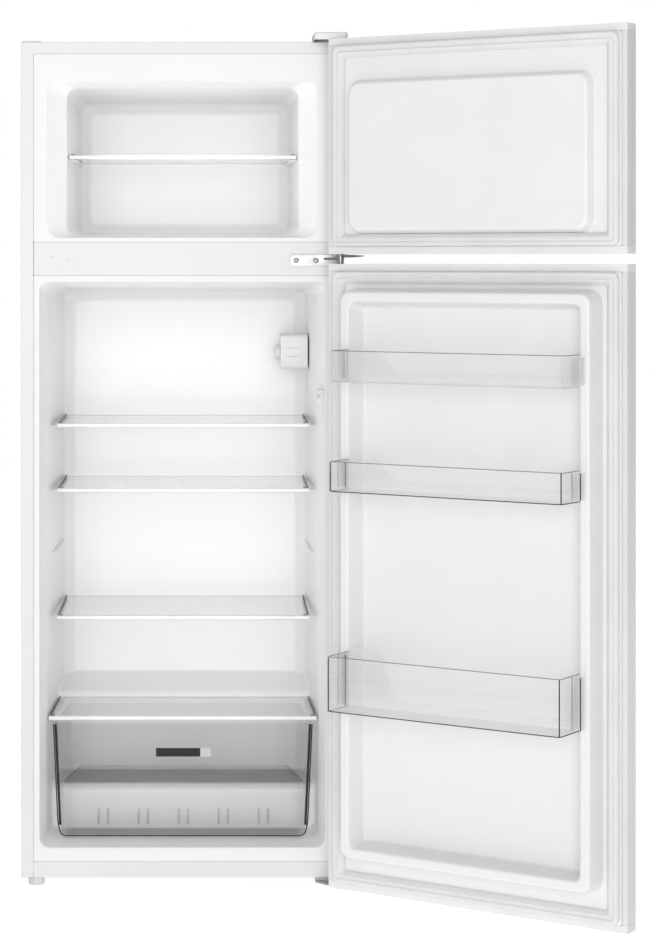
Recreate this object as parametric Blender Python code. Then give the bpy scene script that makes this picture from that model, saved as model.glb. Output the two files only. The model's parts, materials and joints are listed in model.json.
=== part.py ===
"""Top freezer refrigerator, 55 cm class: cabinet, cooling circuit, shelves, crisper and two hinged doors.

It is drawn with x = 0 at the middle of the cabinet, y = 0 at its front face and z = 0 on the floor.
The empty "refrigerator" then moves that frame so that the open appliance stands centred on the origin.
The doors are drawn closed. Empties on their hinge pins turn them to the open rest pose.
"""

from math import cos, pi, radians, sin

import bmesh
import bpy
from mathutils import Matrix, Vector

# ---------------------------------------------------------------- driving dimensions, in metres
GAP = 0.0003  # left between pieces that touch
SHEET = 0.001  # painted steel of the cabinet
PLASTIC = 0.0018  # wall of the vacuum-formed liners
GLASS = 0.004

HALF_WIDTH = 0.275
CABINET_TOP = 1.440
CABINET_BASE = 0.018
CABINET_DEPTH = 0.480
FLANGE_SIDE = 0.0215  # front strip of the shell beside the liners
FLANGE_TOP = 0.020
STRIP_HALF = HALF_WIDTH - FLANGE_SIDE - GAP
MULLION_LOW, MULLION_HIGH = 1.043, 1.099
RAIL_HIGH = 0.0453  # top edge of the front bottom rail

# Compartment walls as (depth, half width, low, high, corner radius) from the front face to the back wall.
FREEZER_WALL = (
    (0.000, 0.2293, 1.1070, 1.3736, 0.020),
    (0.030, 0.1976, 1.1110, 1.3624, 0.017),
    (0.350, 0.1910, 1.1160, 1.3560, 0.017),
    (0.372, 0.1740, 1.1330, 1.3390, 0.012),
)
FRIDGE_WALL = (
    (0.000, 0.2434, 0.0690, 1.0315, 0.016),
    (0.055, 0.2330, 0.0735, 1.0230, 0.016),
    (0.375, 0.2240, 0.0780, 1.0150, 0.016),
    (0.400, 0.2050, 0.0970, 0.9960, 0.012),
)
# The compressor hump in the fridge floor, as (depth, height): a low step, then the high ledge.
HUMP = (
    (0.128, 0.030), (0.131, 0.140), (0.141, 0.150), (0.262, 0.150), (0.262, 0.275), (0.275, 0.288),
    (0.460, 0.312)
)

MOUTH = -0.01  # where cutters that open a compartment start, in front of the cabinet

SHELF_HEIGHTS = (0.7835, 0.6705, 0.4490)  # upper faces of the three glass shelves
SPARE_RIB_HEIGHTS = (0.560,)  # rib pairs with no shelf on them
SHELF_HALF = 0.2190
SHELF_FRONT, SHELF_BACK = 0.096, 0.379
COVER_HEIGHT = 0.2830  # upper face of the crisper cover
COVER_HALF, COVER_NARROW, COVER_FRONT, COVER_BACK = 0.2300, 0.2240, 0.046, 0.256
FREEZER_SHELF_HEIGHT = 1.2480
FREEZER_SHELF_HALF, FREEZER_SHELF_NARROW = 0.1950, 0.1890
FREEZER_SHELF_FRONT, FREEZER_SHELF_BACK = 0.046, 0.345
RIB_WIDTH, RIB_THICK = 0.014, 0.006

DRAWER_FRONT, DRAWER_BACK = 0.047, 0.257
DRAWER_LOW, DRAWER_HIGH = 0.0765, 0.2715
DRAWER_WALL = 0.0022

DOOR_HALF = 0.273
DOOR_INNER, DOOR_OUTER = -0.012, -0.052  # depth of the door's inner and outer faces, closed
DOOR_ROUND = 0.012
DOOR_CAP = 0.012
DOOR_SKIN = 0.0008
DOOR_RETURN = 0.009  # width of the skin folded over the inner face
PIN = Vector((0.267, -0.041, 0))
DOOR_OPEN = radians(146)
FREEZER_DOOR = (1.079, 1.440)
FRIDGE_DOOR = (0.017, 1.0625)
GASKET_INSET, GASKET_WIDTH, GASKET_FACE = 0.012, 0.021, -0.0008
PIN_RADIUS, PIN_LENGTH, COLLAR_RADIUS = 0.0032, 0.009, 0.0050
HINGE_PLATE = 0.003
MIDDLE_ARM = (1.0695, 1.0725)

# Freezer door panel and fridge door dyke, in (half width, low, high, height above the inner face).
FREEZER_PANEL = (0.2170, 1.1190, 1.3620, 0.016)
FRIDGE_DYKE = (0.2280, 0.0800, 1.0180, 0.040)
DYKE_WIDTH = 0.017
# Door bins as (low, high, how far they reach into the cabinet).
BINS = {"top": (0.870, 0.921, 0.088), "middle": (0.691, 0.740, 0.090), "bottom": (0.333, 0.4225, 0.096)}
BIN_HALF, BIN_WALL = 0.2095, 0.0020
# Grips on the free edge of each door, as the height of their middle.
GRIP_HEIGHTS = {"freezer": 1.302, "fridge": 0.961}
GRIP_LENGTH = 0.128

KNOB_CENTRE = Vector((0.168, 0.318, 0.9005))
CONTROL_BOX = ((0.1745, 0.2258), (0.285, 0.366), (0.872, 0.934))
KNOB_RADIUS, SPINDLE_RADIUS = 0.0145, 0.0030
SWITCH = Vector((0.2325, 0.024, 0.836))
PLUNGER_RADIUS = 0.0022

FOOT_RADIUS, STEM_RADIUS = 0.0138, 0.0040
FOOT_PLACE = (0.2505, 0.032)
ROLLER_RADIUS, ROLLER_WIDTH, ROLLER_PIN = 0.0115, 0.018, 0.0024
ROLLER_PLACE = (0.236, 0.448)
SUPPORT = ((0.335, 0.472), (0.0190, 0.0205))  # depths and heights of the tray under the compressor

COMPRESSOR = Vector((0.055, 0.402, 0.0))
BAY = ((0.003, RAIL_HIGH), (0.260, RAIL_HIGH), (0.315, 0.226), (CABINET_DEPTH - 0.0015, 0.232))
CONDENSER_PLANE = CABINET_DEPTH + 0.014
CONDENSER_TUBE = 0.0025
CONDENSER_HALF, CONDENSER_LOW, CONDENSER_HIGH, CONDENSER_RUNS = 0.215, 0.300, 1.300, 12

EVAPORATOR_SPACE = 0.0026  # room for the freezer's evaporator between its liner and the foam
DRAIN = Vector((0.0, 0.384, 0.0))
DRAIN_RADIUS = 0.007

# The corner of the drawing frame, so that the open appliance's box is centred on the origin.
ORIGIN = Vector((0.2206, 0.0410, 0))

WHITE, INTERIOR, GREY = (0.86, 0.86, 0.86), (0.84, 0.85, 0.86), (0.42, 0.43, 0.44)
STEEL, BLACK, COPPER = (0.60, 0.60, 0.60), (0.02, 0.02, 0.02), (0.62, 0.30, 0.16)
CLEAR, SMOKE, FOOT_GREY = (0.75, 0.80, 0.80), (0.35, 0.36, 0.37), (0.75, 0.75, 0.75)


# ---------------------------------------------------------------- modelling helpers
def clear_scene():
    for obj in list(bpy.data.objects):
        bpy.data.objects.remove(obj, do_unlink=True)


def make_material(name, colour, roughness, metallic):
    material = bpy.data.materials.new(name)
    material.use_nodes = True
    shader = material.node_tree.nodes["Principled BSDF"]
    shader.inputs["Base Color"].default_value = (*colour, 1)
    shader.inputs["Roughness"].default_value = roughness
    shader.inputs["Metallic"].default_value = metallic
    return material


def add_empty(name, parent, place, turn=0.0):
    empty = bpy.data.objects.new(name, None)
    bpy.context.scene.collection.objects.link(empty)
    empty.parent = parent
    empty.location = place
    empty.rotation_euler = (0, 0, turn)
    return empty


def add_object(name, bm, parent, finish=None):
    """A named object from a bmesh drawn in the cabinet frame; it hangs from the empty given as its parent."""
    bmesh.ops.recalc_face_normals(bm, faces=bm.faces)
    mesh = bpy.data.meshes.new(name)
    bm.to_mesh(mesh)
    bm.free()
    obj = bpy.data.objects.new(name, mesh)
    bpy.context.scene.collection.objects.link(obj)
    obj.parent = parent
    if parent.parent:
        obj.matrix_parent_inverse = Matrix.Translation(-parent.location)
    if finish:
        mesh.materials.append(make_material(name, *finish))
        mesh.set_sharp_from_angle(angle=radians(35))
    else:
        obj.hide_render = True
        obj.display_type = "WIRE"
    return obj


def lifted(outline, axis, height):
    """The points of a flat outline, set at a height along the axis."""
    order = {
        "x": lambda u, v: (height, u, v), "y": lambda u, v: (u, height, v), "z": lambda u, v: (u, v, height)
    }
    return [order[axis](u, v) for u, v in outline]


def rounded(u0, u1, v0, v1, radius, steps=3):
    """The outline of a rectangle with rounded corners."""
    points = []
    for turn, (u, v) in enumerate(((u1, v1), (u0, v1), (u0, v0), (u1, v0))):
        centre_u = u - radius if u == u1 else u + radius
        centre_v = v - radius if v == v1 else v + radius
        for step in range(steps + 1):
            angle = (turn + step / steps) * pi / 2
            points.append((centre_u + radius * cos(angle), centre_v + radius * sin(angle)))
    return points


def circle(u, v, radius, sides=20):
    return [
        (u + radius * cos(2 * pi * i / sides), v + radius * sin(2 * pi * i / sides))
        for i in range(sides)
    ]


def rectangle(u0, u1, v0, v1):
    return [(u0, v0), (u1, v0), (u1, v1), (u0, v1)]


def skin_rings(bm, rings, closed=False):
    """Quads between rings of the same number of points, capped at both ends unless they close on themselves."""
    loops = [[bm.verts.new(point) for point in ring] for ring in rings]
    pairs = list(zip(loops, loops[1:]))
    if closed:
        pairs.append((loops[-1], loops[0]))
    else:
        bm.faces.new(loops[0])
        bm.faces.new(reversed(loops[-1]))
    for first, second in pairs:
        for i in range(len(first)):
            j = (i + 1) % len(first)
            bm.faces.new((first[i], second[i], second[j], first[j]))


def loft(rings, closed=False):
    bm = bmesh.new()
    skin_rings(bm, rings, closed)
    return bm


def prism(outline, axis, start, end):
    return loft([lifted(outline, axis, start), lifted(outline, axis, end)])


def prisms(*parts):
    """Several prisms that don't meet, in one mesh."""
    bm = bmesh.new()
    for outline, axis, start, end in parts:
        skin_rings(bm, [lifted(outline, axis, start), lifted(outline, axis, end)])
    return bm


def block(x, y, z):
    return prism(rectangle(*x, *y), "z", *z)


def turned(profile, centre, axis="z", sides=20):
    """A solid of revolution whose profile lists (radius, height) from one end to the other."""
    order = {"z": (0, 1, 2), "y": (0, 2, 1), "x": (1, 2, 0)}[axis]
    u, v, base = (centre[i] for i in order)
    return loft([lifted(circle(u, v, radius, sides), axis, base + height) for radius, height in profile])


def boolean(target, operation, others):
    for other in others:
        modifier = target.modifiers.new(f"{operation.lower()}_{other.name}", "BOOLEAN")
        modifier.operation = operation
        modifier.object = other


def cut(target, *others):
    boolean(target, "DIFFERENCE", others)


def unite(target, *others):
    boolean(target, "UNION", others)


def helper(name, bm, parent):
    return add_object(f"cut_{name}", bm, parent)


# ---------------------------------------------------------------- cabinet
def add_shell(home):
    outer = [
        (-HALF_WIDTH, CABINET_BASE), (HALF_WIDTH, CABINET_BASE), (HALF_WIDTH, CABINET_TOP),
        (-HALF_WIDTH, CABINET_TOP)
    ]
    shell = add_object("cabinet_shell", prism(outer, "y", 0, CABINET_DEPTH), home, (WHITE, 0.35, 0.0))
    inside = HALF_WIDTH - SHEET
    hollow = block((-inside, inside), (SHEET, CABINET_DEPTH + 0.01), (0, CABINET_TOP - SHEET))
    face = HALF_WIDTH - FLANGE_SIDE
    window = block((-face, face), (-0.01, 0.01), (0, CABINET_TOP - FLANGE_TOP))
    cut(shell, helper("shell_hollow", hollow, home), helper("shell_window", window, home))


def add_front_channel(name, low, high, deep, home):
    """A folded strip across the cabinet's front, open at the back."""
    strip = add_object(
        name, block((-STRIP_HALF, STRIP_HALF), (GAP, deep), (low, high)), home, (WHITE, 0.35, 0.0)
    )
    inside = block(
        (-STRIP_HALF - 0.01, STRIP_HALF + 0.01), (GAP + SHEET, deep + 0.01), (low + SHEET, high - SHEET)
    )
    cut(strip, helper(name, inside, home))


def wall_at(walls, depth):
    """Half width, low, high and corner radius of a compartment at a depth between two of its rings."""
    before, after = next(pair for pair in zip(walls, walls[1:]) if pair[0][0] <= depth <= pair[1][0])
    share = (depth - before[0]) / (after[0] - before[0])
    return [a + (b - a) * share for a, b in zip(before[1:], after[1:])]


def wall_rings(walls, grow, back_extra, start=None):
    """Rings along a compartment's walls, moved outwards by grow; with no start the mouth is straight."""
    first, *rest = [(depth, size) for depth, *size in walls]
    places = [(MOUTH, first[1]), first] if start is None else [(start, wall_at(walls, start))]
    places += rest
    rings = []
    for depth, (half, low, high, radius) in places:
        outline = rounded(-half - grow, half + grow, low - grow, high + grow, radius + grow)
        rings.append(lifted(outline, "y", depth + (back_extra if depth == walls[-1][0] else 0)))
    return rings


def flange_rings(low, high):
    outline = rounded(-STRIP_HALF, STRIP_HALF, low, high, 0.002)
    return [lifted(outline, "y", y) for y in (GAP + SHEET * 0.3, GAP + PLASTIC)]


def hump_solid(name, home, shift):
    """The compressor hump, pushed up and forward by shift; it fills everything below and behind its steps."""
    line = [(y - shift, z + shift) for y, z in HUMP]
    outline = [(HUMP[0][0] - shift, 0.0), *line, (0.5, HUMP[-1][1] + shift), (0.5, 0.0)]
    return helper(name, prism(outline, "x", -0.3, 0.3), home)


def rib_outline(side, walls, width, start, end):
    """Plan of a shelf rib: it follows the tapering wall and bites into it."""
    inner = walls[2][1] - width
    reach = [wall_at(walls, y)[0] + PLASTIC / 2 for y in (start, end)]
    return [(side * inner, start), (side * reach[0], start), (side * reach[1], end), (side * inner, end)]


def add_liners(home):
    finish = (INTERIOR, 0.4, 0.0)
    low, high = MULLION_HIGH + GAP, CABINET_TOP - FLANGE_TOP - GAP
    rings = flange_rings(low, high) + wall_rings(FREEZER_WALL, PLASTIC, PLASTIC, GAP + PLASTIC)
    freezer = add_object("freezer_liner", loft(rings), home, finish)
    cut(freezer, helper("freezer_inside", loft(wall_rings(FREEZER_WALL, 0, 0)), home))
    shelf = FREEZER_SHELF_HEIGHT - GLASS - GAP
    span = (FREEZER_SHELF_FRONT + 0.02, FREEZER_SHELF_BACK - 0.01)
    ribs = [
        (rib_outline(side, FREEZER_WALL, RIB_WIDTH / 2, *span), "z", shelf - RIB_THICK, shelf)
        for side in (-1, 1)
    ]
    unite(freezer, helper("freezer_ribs", prisms(*ribs), home))

    low, high = RAIL_HIGH + GAP, MULLION_LOW - GAP
    rings = flange_rings(low, high) + wall_rings(FRIDGE_WALL, PLASTIC, PLASTIC, GAP + PLASTIC)
    fridge = add_object("fridge_liner", loft(rings), home, finish)
    cut(fridge, hump_solid("hump_outer", home, 0))
    inside = helper("fridge_inside", loft(wall_rings(FRIDGE_WALL, 0, 0)), home)
    cut(inside, hump_solid("hump_inner", home, PLASTIC))
    cut(fridge, inside)
    levels = [(height, SHELF_FRONT + 0.012, 0.365) for height in SHELF_HEIGHTS + SPARE_RIB_HEIGHTS]
    levels.append((COVER_HEIGHT, 0.062, COVER_BACK - 0.004))
    ribs = []
    for side in (-1, 1):
        for height, start, end in levels:
            top = height - GLASS - GAP
            ribs.append((rib_outline(side, FRIDGE_WALL, RIB_WIDTH, start, end), "z", top - RIB_THICK, top))
    unite(fridge, helper("fridge_ribs", prisms(*ribs), home))


def add_foam(home):
    inside = HALF_WIDTH - SHEET - GAP
    body = block(
        (-inside, inside), (0.0030, CABINET_DEPTH - 0.0018), (RAIL_HIGH + 0.0012, CABINET_TOP - SHEET - GAP)
    )
    foam = add_object("cabinet_foam", body, home, ((0.80, 0.74, 0.50), 0.9, 0.0))
    air = PLASTIC + GAP
    fridge = helper("foam_fridge", loft(wall_rings(FRIDGE_WALL, air, air)), home)
    cut(fridge, hump_solid("foam_hump", home, -GAP))
    freezer = helper("foam_freezer", loft(wall_rings(FREEZER_WALL, air + EVAPORATOR_SPACE, air)), home)
    mullion = block((-0.3, 0.3), (-0.01, 0.0203), (MULLION_LOW - 0.0005, MULLION_HIGH + 0.0005))
    rail = block((-0.3, 0.3), (-0.01, 0.0203), (0, RAIL_HIGH + 0.0016))
    bay = prism(bay_outline(SHEET + 2 * GAP), "x", -0.3, 0.3)
    pocket = block((-0.162, 0.162), (0.39, 0.4065), (0.448, 0.952))
    duct = prism(circle(DRAIN.x, DRAIN.y, DRAIN_RADIUS + GAP, 16), "z", 0.1, 0.32)
    parts = {
        "foam_mullion": mullion, "foam_rail": rail, "foam_bay": bay, "foam_pocket": pocket,
        "foam_duct": duct
    }
    cut(foam, fridge, freezer, *[helper(name, shape, home) for name, shape in parts.items()])


def bay_outline(grow):
    """The compressor bay's side view, closed well below and behind the cabinet; grow moves its top line out."""
    line = [(y - (grow if 0 < i < 3 else 0), z + grow) for i, (y, z) in enumerate(BAY)]
    return [(-0.01, -0.01), (-0.01, line[0][1]), *line[1:], (0.6, line[-1][1]), (0.6, -0.01)]


def add_bay(home):
    half = HALF_WIDTH - SHEET - GAP
    line = [(y, z) for y, z in BAY]
    upper = [(y - (SHEET if 0 < i < 3 else 0), z + SHEET) for i, (y, z) in enumerate(BAY)]
    line[0], upper[0] = (0.0222, line[0][1]), (0.0222, upper[0][1])
    plate = add_object(
        "compressor_bay_plate", prism(line + upper[::-1], "x", -half, half), home, (STEEL, 0.45, 1.0)
    )
    cut(
        plate,
        helper("bay_drain", prism(circle(DRAIN.x, DRAIN.y, DRAIN_RADIUS + GAP, 16), "z", 0.1, 0.32), home)
    )

    inside = HALF_WIDTH - SHEET - GAP
    back = block(
        (-inside, inside), (CABINET_DEPTH - 0.0012, CABINET_DEPTH - 0.0004),
        (0.2345, CABINET_TOP - SHEET - GAP)
    )
    add_object("back_panel", back, home, ((0.55, 0.56, 0.57), 0.5, 0.6))


def add_support(home):
    """The steel tray across the bottom of the bay, with ears and pins for the rollers."""
    half, sheet, lip_low, lip_high = HALF_WIDTH - SHEET - GAP, 0.0015, 0.0195, 0.034
    deep, level = SUPPORT
    tray = add_object("compressor_support", block((-half, half), deep, level), home, (STEEL, 0.45, 1.0))
    lips = prisms(
        (rectangle(-half, half, deep[0], deep[0] + sheet), "z", lip_low, lip_high),
        (rectangle(-half, half, deep[1] - sheet, deep[1]), "z", lip_low, lip_high),
    )
    half_slot, ear_at, ear_half = 0.0115, 0.0125, 0.0009
    slots, ears, pins = [], [], []
    for side in (-1, 1):
        x, y = side * ROLLER_PLACE[0], ROLLER_PLACE[1]
        plan = rectangle(x - half_slot, x + half_slot, y - 0.0145, y + 0.0145)
        slots.append((plan, "z", 0.0, 0.04))
        for ear_x in (x - ear_at, x + ear_at):
            plan = rectangle(ear_x - ear_half, ear_x + ear_half, y - 0.008, y + 0.008)
            ears.append((plan, "z", 0.0060, 0.0200))
        reach = ear_at + 0.0005
        pins.append((circle(y, ROLLER_RADIUS, ROLLER_PIN, 12), "x", x - reach, x + reach))
    cut(tray, helper("roller_slots", prisms(*slots), home))
    unite(
        tray, helper("tray_lips", lips, home), helper("roller_ears", prisms(*ears), home),
        helper("roller_pins", prisms(*pins), home)
    )


def add_rollers(home):
    rim, bore, half, edge = ROLLER_RADIUS, ROLLER_PIN + GAP, ROLLER_WIDTH / 2, 0.0012
    profile = (
        (bore, -half), (rim - edge, -half), (rim, edge - half), (rim, half - edge), (rim - edge, half),
        (bore, half)
    )
    for name, side in (("left", -1), ("right", 1)):
        x, y = side * ROLLER_PLACE[0], ROLLER_PLACE[1]
        axle = add_empty(f"rear_roller_{name}_axle", home, (x, y, ROLLER_RADIUS))
        rings = [lifted(circle(y, ROLLER_RADIUS, radius, 24), "x", x + along) for radius, along in profile]
        add_object(f"rear_roller_{name}", loft(rings, closed=True), axle, (BLACK, 0.5, 0.0))


# ---------------------------------------------------------------- cooling circuit
def add_compressor(home):
    """The welded pot on its foot plate and rubber mounts, with the relay, drip tray and drain tube round it."""
    half_long, half_wide = 0.083, 0.060
    lower_half = ((0.034, 0.55), (0.044, 0.86), (0.062, 0.97), (0.108, 1.0), (0.118, 1.04))
    upper_half = ((0.124, 1.0), (0.160, 0.96), (0.182, 0.82), (0.196, 0.45))
    rings = []
    for height, scale in lower_half + upper_half:
        outline = [
            (COMPRESSOR.x + half_long * scale * u, COMPRESSOR.y + half_wide * scale * v)
            for u, v in circle(0, 0, 1, 24)
        ]
        rings.append(lifted(outline, "z", height))
    body = add_object("compressor", loft(rings), home, (BLACK, 0.45, 0.3))
    plate_low, plate_high, margin = 0.0305, 0.0360, 0.012
    plate_long, plate_wide, mount_radius = 0.088, 0.056, 0.011
    plate = block(
        (COMPRESSOR.x - plate_long, COMPRESSOR.x + plate_long),
        (COMPRESSOR.y - plate_wide, COMPRESSOR.y + plate_wide), (plate_low, plate_high)
    )
    mounts = []
    for u, v in ((-1, -1), (-1, 1), (1, -1), (1, 1)):
        x, y = COMPRESSOR.x + u * (plate_long - margin), COMPRESSOR.y + v * (plate_wide - margin)
        mounts.append((circle(x, y, mount_radius, 12), "z", SUPPORT[1][1] + GAP, plate_high + 0.002))
    unite(body, helper("compressor_plate", plate, home), helper("compressor_mounts", prisms(*mounts), home))

    left, relay_long, relay_wide, standoff = COMPRESSOR.x - half_long, 0.036, 0.026, 0.004
    relay = block(
        (left - standoff - relay_long, left - standoff),
        (COMPRESSOR.y - relay_wide, COMPRESSOR.y + relay_wide), (0.078, 0.142)
    )
    add_object("start_relay", relay, home, (BLACK, 0.55, 0.0))

    tray_low, tray_high, wall, slope, corner = 0.1985, 0.2205, 0.002, 0.012, 0.015
    rings = []
    steps = ((tray_low, slope), (tray_high, 0.0), (tray_high, wall), (tray_low + wall, slope + wall))
    for z, inset in steps:
        half_x, half_y = 0.080 - inset, 0.052 - inset
        outline = rounded(
            COMPRESSOR.x - half_x, COMPRESSOR.x + half_x, COMPRESSOR.y - half_y, COMPRESSOR.y + half_y,
            corner - inset / 2
        )
        rings.append(lifted(outline, "z", z))
    add_object("drip_tray", loft(rings), home, (BLACK, 0.5, 0.0))

    low, high, bore = tray_high + 0.004, 0.2985, DRAIN_RADIUS - 0.0015
    steps = ((DRAIN_RADIUS, low), (DRAIN_RADIUS, high), (bore, high), (bore, low))
    rings = [lifted(circle(DRAIN.x, DRAIN.y, radius, 16), "z", z) for radius, z in steps]
    add_object("drain_tube", loft(rings, closed=True), home, (GREY, 0.5, 0.0))


def condenser_route():
    """The serpentine's centre line: runs across the back, joined by half-turns."""
    pitch = (CONDENSER_HIGH - CONDENSER_LOW) / (CONDENSER_RUNS - 1)
    radius, straight = pitch / 2, CONDENSER_HALF - pitch / 2
    points = []
    for run in range(CONDENSER_RUNS):
        side = 1 if run % 2 else -1
        z = CONDENSER_HIGH - run * pitch
        start = -side * straight if run else -CONDENSER_HALF
        points += [(start, z), (side * straight, z)]
        if run < CONDENSER_RUNS - 1:
            for step in range(1, 6):
                angle = pi * step / 6
                points.append((side * (straight + radius * sin(angle)), z - radius + radius * cos(angle)))
    return [(x, CONDENSER_PLANE, z) for x, z in points]


def add_tube(name, points, radius, parent, finish, resolution=2):
    curve = bpy.data.curves.new(name, "CURVE")
    curve.dimensions = "3D"
    curve.bevel_depth = radius
    curve.bevel_resolution = resolution
    curve.use_fill_caps = True
    spline = curve.splines.new("POLY")
    spline.points.add(len(points) - 1)
    for point, place in zip(spline.points, points):
        point.co = (*place, 1)
    curve.materials.append(make_material(name, *finish))
    obj = bpy.data.objects.new(name, curve)
    bpy.context.scene.collection.objects.link(obj)
    obj.parent = parent
    return obj


def add_circuit(home):
    route = condenser_route()
    last = Vector(route[-1])
    route += [
        (last.x, last.y, 0.27), (last.x, last.y - 0.004, 0.235), (last.x, 0.462, 0.212),
        (last.x, 0.462, 0.185)
    ]
    add_tube("condenser_coil", route, CONDENSER_TUBE, home, (BLACK, 0.5, 0.4), 1)
    low, high = 0.105, 0.185 - GAP
    profile = [
        (0.0022, low), (0.0065, low + 0.010), (0.0085, low + 0.020), (0.0085, high - 0.016), (0.0030, high)
    ]
    place = Vector((last.x, 0.462, 0))
    add_object("filter_drier", turned(profile, place, sides=16), home, (COPPER, 0.35, 1.0))

    plate = block((-0.160, 0.160), (0.4024, 0.4050), (0.450, 0.950))
    add_object("fridge_evaporator", plate, home, (STEEL, 0.4, 1.0))
    rings = []
    for grow, y in ((0.0022, 0.06), (0.0036, 0.06), (0.0036, 0.31), (0.0022, 0.31)):
        half, low, high, radius = wall_at(FREEZER_WALL, y)
        rings.append(
            lifted(rounded(-half - grow, half + grow, low - grow, high + grow, radius + grow), "y", y)
        )
    add_object("freezer_evaporator", loft(rings, closed=True), home, (STEEL, 0.4, 1.0))

    gland = turned(
        [(0.011, 0.0), (0.011, 0.004), (0.0075, 0.0045), (0.0060, 0.020)],
        Vector((-0.2, CABINET_DEPTH, 0.30)), "y", 16
    )
    add_object("cord_gland", gland, home, (BLACK, 0.6, 0.0))


# ---------------------------------------------------------------- inside the compartments
def add_shelf(name, half, narrow, front, back, height, home):
    """A glass plate and the white trim clipped over its front edge."""
    trim_depth, lip, under = 0.010, 0.0009, 0.0012
    edge = front + 0.003
    plan = [(-half, edge), (half, edge), (narrow, back), (-narrow, back)]
    add_object(f"{name}_glass", prism(plan, "z", height - GLASS, height), home, (CLEAR, 0.05, 0.0))
    low, high = height - GLASS - GAP - under, height + GAP + lip
    trim = add_object(
        f"{name}_trim", block((-half, half), (front, front + trim_depth), (low, high)), home,
        (WHITE, 0.4, 0.0)
    )
    slot = block(
        (-half - 0.01, half + 0.01), (front + 0.003 - GAP, front + 0.02),
        (height - GLASS - GAP, height + GAP)
    )
    cut(trim, helper(f"{name}_slot", slot, home))


def add_shelves(home):
    for number, height in enumerate(SHELF_HEIGHTS, 1):
        add_shelf(f"shelf_{number}", SHELF_HALF, SHELF_HALF, SHELF_FRONT, SHELF_BACK, height, home)
    add_shelf("crisper_cover", COVER_HALF, COVER_NARROW, COVER_FRONT, COVER_BACK, COVER_HEIGHT, home)
    half, front, back = FREEZER_SHELF_HALF, FREEZER_SHELF_FRONT, FREEZER_SHELF_BACK
    add_shelf("freezer_shelf", half, FREEZER_SHELF_NARROW, front, back, FREEZER_SHELF_HEIGHT, home)


def drawer_rings(wall, low, high):
    """Level rings of the crisper, narrowing towards the floor and the back; wall insets them."""
    corner, taper = 0.012, 0.35
    steps = ((low, 0.2125, 0.004, 0.010), (low + corner, 0.2160, 0.0, 0.0), (high, 0.2240, 0.0, 0.0))
    rings = []
    for z, half, front, back in steps:
        near, far = DRAWER_FRONT + front + wall, DRAWER_BACK - back - wall
        points = rounded(-half + wall, half - wall, near, far, corner)
        rings.append([(x * (1 - taper * (y - DRAWER_FRONT)), y, z) for x, y in points])
    return rings


def add_drawer(home):
    """The crisper: a clear tray whose back half rises in a step to clear the compressor hump."""
    axis = add_empty("crisper_slide", home, (0, DRAWER_FRONT, DRAWER_LOW))
    outside = drawer_rings(0, DRAWER_LOW, DRAWER_HIGH)
    inside = drawer_rings(DRAWER_WALL, DRAWER_LOW + DRAWER_WALL, DRAWER_HIGH + 0.02)
    drawer = add_object("crisper_drawer", loft(outside), axis, (SMOKE, 0.15, 0.0))
    hollow = helper("drawer_inside", loft(inside), axis)
    step_y, step_z, beyond = 0.1265, 0.1555, 0.4
    below = block((-beyond, beyond), (step_y, beyond), (0.0, step_z))
    shelf = block((-beyond, beyond), (step_y - DRAWER_WALL, beyond), (0.0, step_z + DRAWER_WALL))
    cut(hollow, helper("drawer_step_inner", shelf, axis))
    cut(drawer, helper("drawer_step_outer", below, axis), hollow)


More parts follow.
